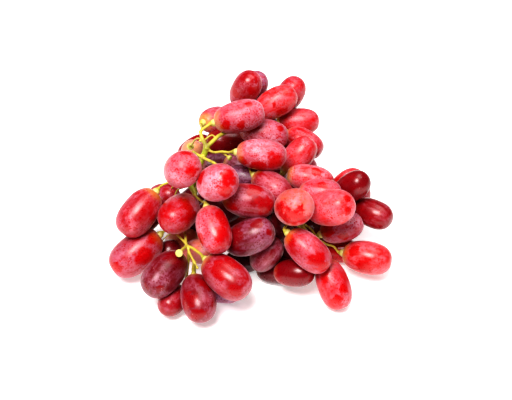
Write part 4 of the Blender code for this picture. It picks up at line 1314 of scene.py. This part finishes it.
def end_at_berry(heap, i, line, radius):
    """A side stem's points and radii, from its line up to the collar on the berry's end."""
    stem_end = collar_of(heap, i)[0]
    points = np.vstack([line, stem_end - heap.axis[i] * CLEAR])
    radii = np.full(len(points), radius)
    radii[-1] = COLLAR_RADIUS
    return points, radii


def seen_twigs(heap):
    """Side stems read off the picture, each led to its berry's stem end."""
    twigs = {}
    for name, radius, start_depth, places in SEEN_TWIGS:
        i = heap.names.index(name)
        collar = collar_of(heap, i)[1]
        end_depth = (collar - AIM) @ NEAR / MM
        corners = []
        for k, (across, up) in enumerate(places):
            depth = start_depth + (end_depth - start_depth) * k / len(places)
            corners.append(from_picture(across * MM, up * MM, depth * MM))
        line = smooth_line(np.array(corners + [collar]), 3)
        clear = push_clear(line, heap, radius * MM + CLEAR)
        twigs[i] = end_at_berry(heap, i, line if clear is None else clear, radius * MM)
    return twigs


def empty_stems():
    """Side stems that have lost their berry; each ends in the small knob that held it."""
    twigs = []
    for radius, end_radius, places in EMPTY_STEMS:
        line = smooth_line(np.array([from_picture(a * MM, u * MM, d * MM) for a, u, d in places]), 3)
        radii = np.full(len(line), radius * MM)
        radii[-2:] = end_radius * MM
        twigs.append((line, radii))
    return twigs


def route_twigs(heap, stems):
    """A side stem to each berry: as seen, or else from the nearest main stem, clear of the berries."""
    starts = []
    for name, line, _ in stems:
        if name == "peduncle":
            line = line[:CUT_END_STARTS]
        starts.extend(line)
    starts = np.array(starts)
    seen = seen_twigs(heap)
    twigs = list(seen.values()) + empty_stems()
    steps = np.linspace(0, 1, 5)[:, None]
    for i in range(len(heap.names)):
        if i in seen:
            continue
        collar = collar_of(heap, i)[1]
        elbow = collar - heap.axis[i] * TWIG_ELBOW
        order = np.argsort(np.linalg.norm(starts - elbow, axis=1))[:TWIG_STARTS]
        for start in starts[order]:
            if np.linalg.norm(start - collar) > TWIG_LONGEST:
                continue
            line = (1 - steps) ** 2 * start + 2 * steps * (1 - steps) * elbow + steps ** 2 * collar
            line = push_clear(line, heap, TWIG_RADIUS + CLEAR)
            if line is not None and not shows(heap, line):
                twigs.append(end_at_berry(heap, i, line, TWIG_RADIUS))
                break
    return twigs


def shows(heap, line):
    """Whether a side stem would be seen in the picture, in front of or beside the berries."""
    depth = (line - AIM) @ NEAR
    behind = (heap.mid - AIM) @ NEAR > depth[:, None]
    covered = (picture_gap(heap, to_picture(line)) < heap.radius * COVERING) & behind
    return (~covered.any(1)).sum() > 1


def push_clear(line, heap, wide):
    """Moves the inner points of a line off the berries; gives nothing when it stays caught."""
    line = line.copy()
    for _ in range(PUSH_ROUNDS):
        moved = False
        for k in range(1, len(line)):
            last = k == len(line) - 1
            rel = line[k] - heap.mid
            at = np.clip((rel * heap.axis).sum(1), -heap.half, heap.half)
            away = rel - at[:, None] * heap.axis
            far = np.linalg.norm(away, axis=1)
            sunk = heap.radius + wide - far
            worst = int(sunk.argmax())
            if sunk[worst] > PUSH_FROM:
                if last:
                    return None if sunk[worst] > WORST_END else line
                line[k] = line[k] + away[worst] / far[worst] * (sunk[worst] + PUSH_EXTRA)
                moved = True
        for k in range(1, len(line) - 1):
            line[k] = (1 - 2 * EASE) * line[k] + EASE * (line[k - 1] + line[k + 1])
        if not moved:
            return line
    return None


twigs = route_twigs(heap, stems)
print(len(twigs), "side stems")

# %% [markdown]
# ## The stalk's green
#
# Fresh stalk is yellow-green, greener where it is thick, paler at the collars and knobs, mottled with
# olive and flecked with brown. How thick and how pale it is can't be told from the place in the room,
# so both are stored on the mesh below and only read here.

# %% Stalk material
THIN_STEM = (0.60, 0.50, 0.075, 1)
THICK_STEM = (0.42, 0.47, 0.035, 1)
OLIVE = (0.30, 0.25, 0.035, 1)
PALE_END = (0.78, 0.70, 0.26, 1)
STEM_FLECK = (0.22, 0.13, 0.03, 1)


def stalk_material():
    material, tree, shader = new_material(
        "stalk_green", Subsurface_Weight=0.15, Subsurface_Radius=(0.8, 0.9, 0.2),
        Subsurface_Scale=1.0 * MM)
    place = add_node(tree, "ShaderNodeTexCoord").outputs["Object"]
    pale, thick, _ = split(tree, attribute(tree, "stem"))
    broad = noise(tree, place, PATCHY, 4.0)
    fine = noise(tree, place, FINE, 4.0, 0.5)
    colour = blend_colour(tree, thick, THIN_STEM, THICK_STEM)
    colour = blend_colour(tree, ramp(tree, broad, 0.52, 0.70), colour, OLIVE)
    colour = blend_colour(tree, pale * 0.8, colour, PALE_END)
    colour = blend_colour(tree, ramp(tree, fine, 0.60, 0.70) * 0.5, colour, STEM_FLECK)
    feed(tree, shader.inputs["Base Color"], colour)
    feed(tree, shader.inputs["Roughness"], 0.36 + broad * 0.2)
    add_bump(tree, shader, fine, 0.5, 0.2 * MM)
    return material


stalk_green = stalk_material()
print("stalk material has", len(stalk_green.node_tree.nodes), "nodes")

# %% [markdown]
# ## Stems from lines
#
# Each stem is a line of points, and each point carries how thick the stem is there. Geometry Nodes
# turn the lines into tubes. Tubes that only pass through each other would show hard creases where
# they meet, so the whole stalk is remade as one skin and smoothed, which leaves soft joints.

# %% Stem lines
KNOT_SWELL = 1.25
SEAT_DEPTH = 1.4 * MM
LINE_STEPS = 4
PALE_POINTS = 6
THINNEST = 0.3 * MM
VOXEL = 0.36 * MM
SMOOTH_ROUNDS = 4
# radius at which an end is pale or a stem is thick, and the change over which it becomes so
PALE_FROM, PALE_SPAN = 1.0 * MM, 1.0 * MM
THICK_FROM, THICK_SPAN = 0.9 * MM, 0.8 * MM


def stem_lines():
    """All stems as fine lines, with the radius at each point and whether it is a pale end."""
    lines = []
    for _, line, radii in stems:
        radii = radii.copy()
        radii[[0, -1]] *= KNOT_SWELL
        lines.append((line, radii, 0))
    for line, radii in twigs:
        radii = radii.copy()
        radii[0] *= KNOT_SWELL
        if radii[-1] == COLLAR_RADIUS:
            way = line[-1] - line[-2]
            line = np.vstack([line, line[-1] + way / np.linalg.norm(way) * SEAT_DEPTH])
            radii = np.append(radii, COLLAR_RADIUS)
        lines.append((line, radii, PALE_POINTS))
    fine = []
    for line, radii, pale_points in lines:
        path = smooth_line(np.column_stack([line, radii]), LINE_STEPS)
        pale = np.arange(len(path)) >= len(path) - pale_points
        fine.append((path[:, :3] + move, np.maximum(path[:, 3], THINNEST), pale))
    return fine


def tubes_tree():
    tree, given, result = new_tree("stems_from_lines", Sides="Int", Material="Material")
    curve = node(tree, "GeometryNodeMeshToCurve", given["Geometry"])[0]
    ring = node(tree, "GeometryNodeCurvePrimitiveCircle", Resolution=given["Sides"], Radius=1.0)[0]
    tube = node(tree, "GeometryNodeCurveToMesh", Curve=curve, Profile_Curve=ring,
                Scale=split(tree, carried(tree, "radius_there"))[0], Fill_Caps=True)[0]
    whole = node(tree, "GeometryNodeRealizeInstances", tube)[0]
    feed(tree, result[0], node(tree, "GeometryNodeSetMaterial", whole, Material=given["Material"])[0])
    return tree


def stalk_piece():
    """The whole stalk as one skin."""
    points, edges, radii, pale = [], [], [], []
    for line, sizes, pale_there in stem_lines():
        edges += [(len(points) + k, len(points) + k + 1) for k in range(len(line) - 1)]
        points += [tuple(p) for p in line]
        radii += list(sizes)
        pale += list(pale_there)
    mesh = bpy.data.meshes.new("stalk_whole")
    mesh.from_pydata(points, edges, [])
    layer = mesh.attributes.new("radius_there", "FLOAT_VECTOR", "POINT")
    layer.data.foreach_set("vector", np.repeat(radii, 3))
    piece = bpy.data.objects.new("stalk_whole", mesh)
    bpy.context.scene.collection.objects.link(piece)
    grower = piece.modifiers.new("tubes", "NODES")
    grower.node_group = tubes_tree()
    set_inputs(grower, Sides=12, Material=stalk_green)
    freeze(piece)
    skin = piece.modifiers.new("skin", "REMESH")
    skin.mode = "VOXEL"
    skin.voxel_size = VOXEL
    skin.use_smooth_shade = True
    soften = piece.modifiers.new("soften", "SMOOTH")
    soften.iterations = SMOOTH_ROUNDS
    soften.factor = 0.5
    freeze(piece)
    paint_stems(piece, points, np.array(radii), np.array(pale))
    return piece


def paint_stems(piece, points, radii, pale):
    """Stores on each point of the skin how pale and how thick the stem is there."""
    tree = KDTree(len(points))
    for k, point in enumerate(points):
        tree.insert(point, k)
    tree.balance()
    nearest = [tree.find(vert.co)[1] for vert in piece.data.vertices]
    radius = radii[nearest]
    pale_there = np.clip((radius - PALE_FROM) / PALE_SPAN, 0, 1) * pale[nearest]
    thick_there = np.clip((radius - THICK_FROM) / THICK_SPAN, 0, 1)
    layer = piece.data.attributes.new("stem", "FLOAT_VECTOR", "POINT")
    stem_values = np.column_stack([pale_there, thick_there, np.zeros(len(nearest))])
    layer.data.foreach_set("vector", stem_values.ravel())


stalk = stalk_piece()
stalk.data.materials.clear()
stalk.data.materials.append(stalk_green)
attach(stalk, "root")
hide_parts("stalk")
print("stalk has", triangles(stalk), "triangles")
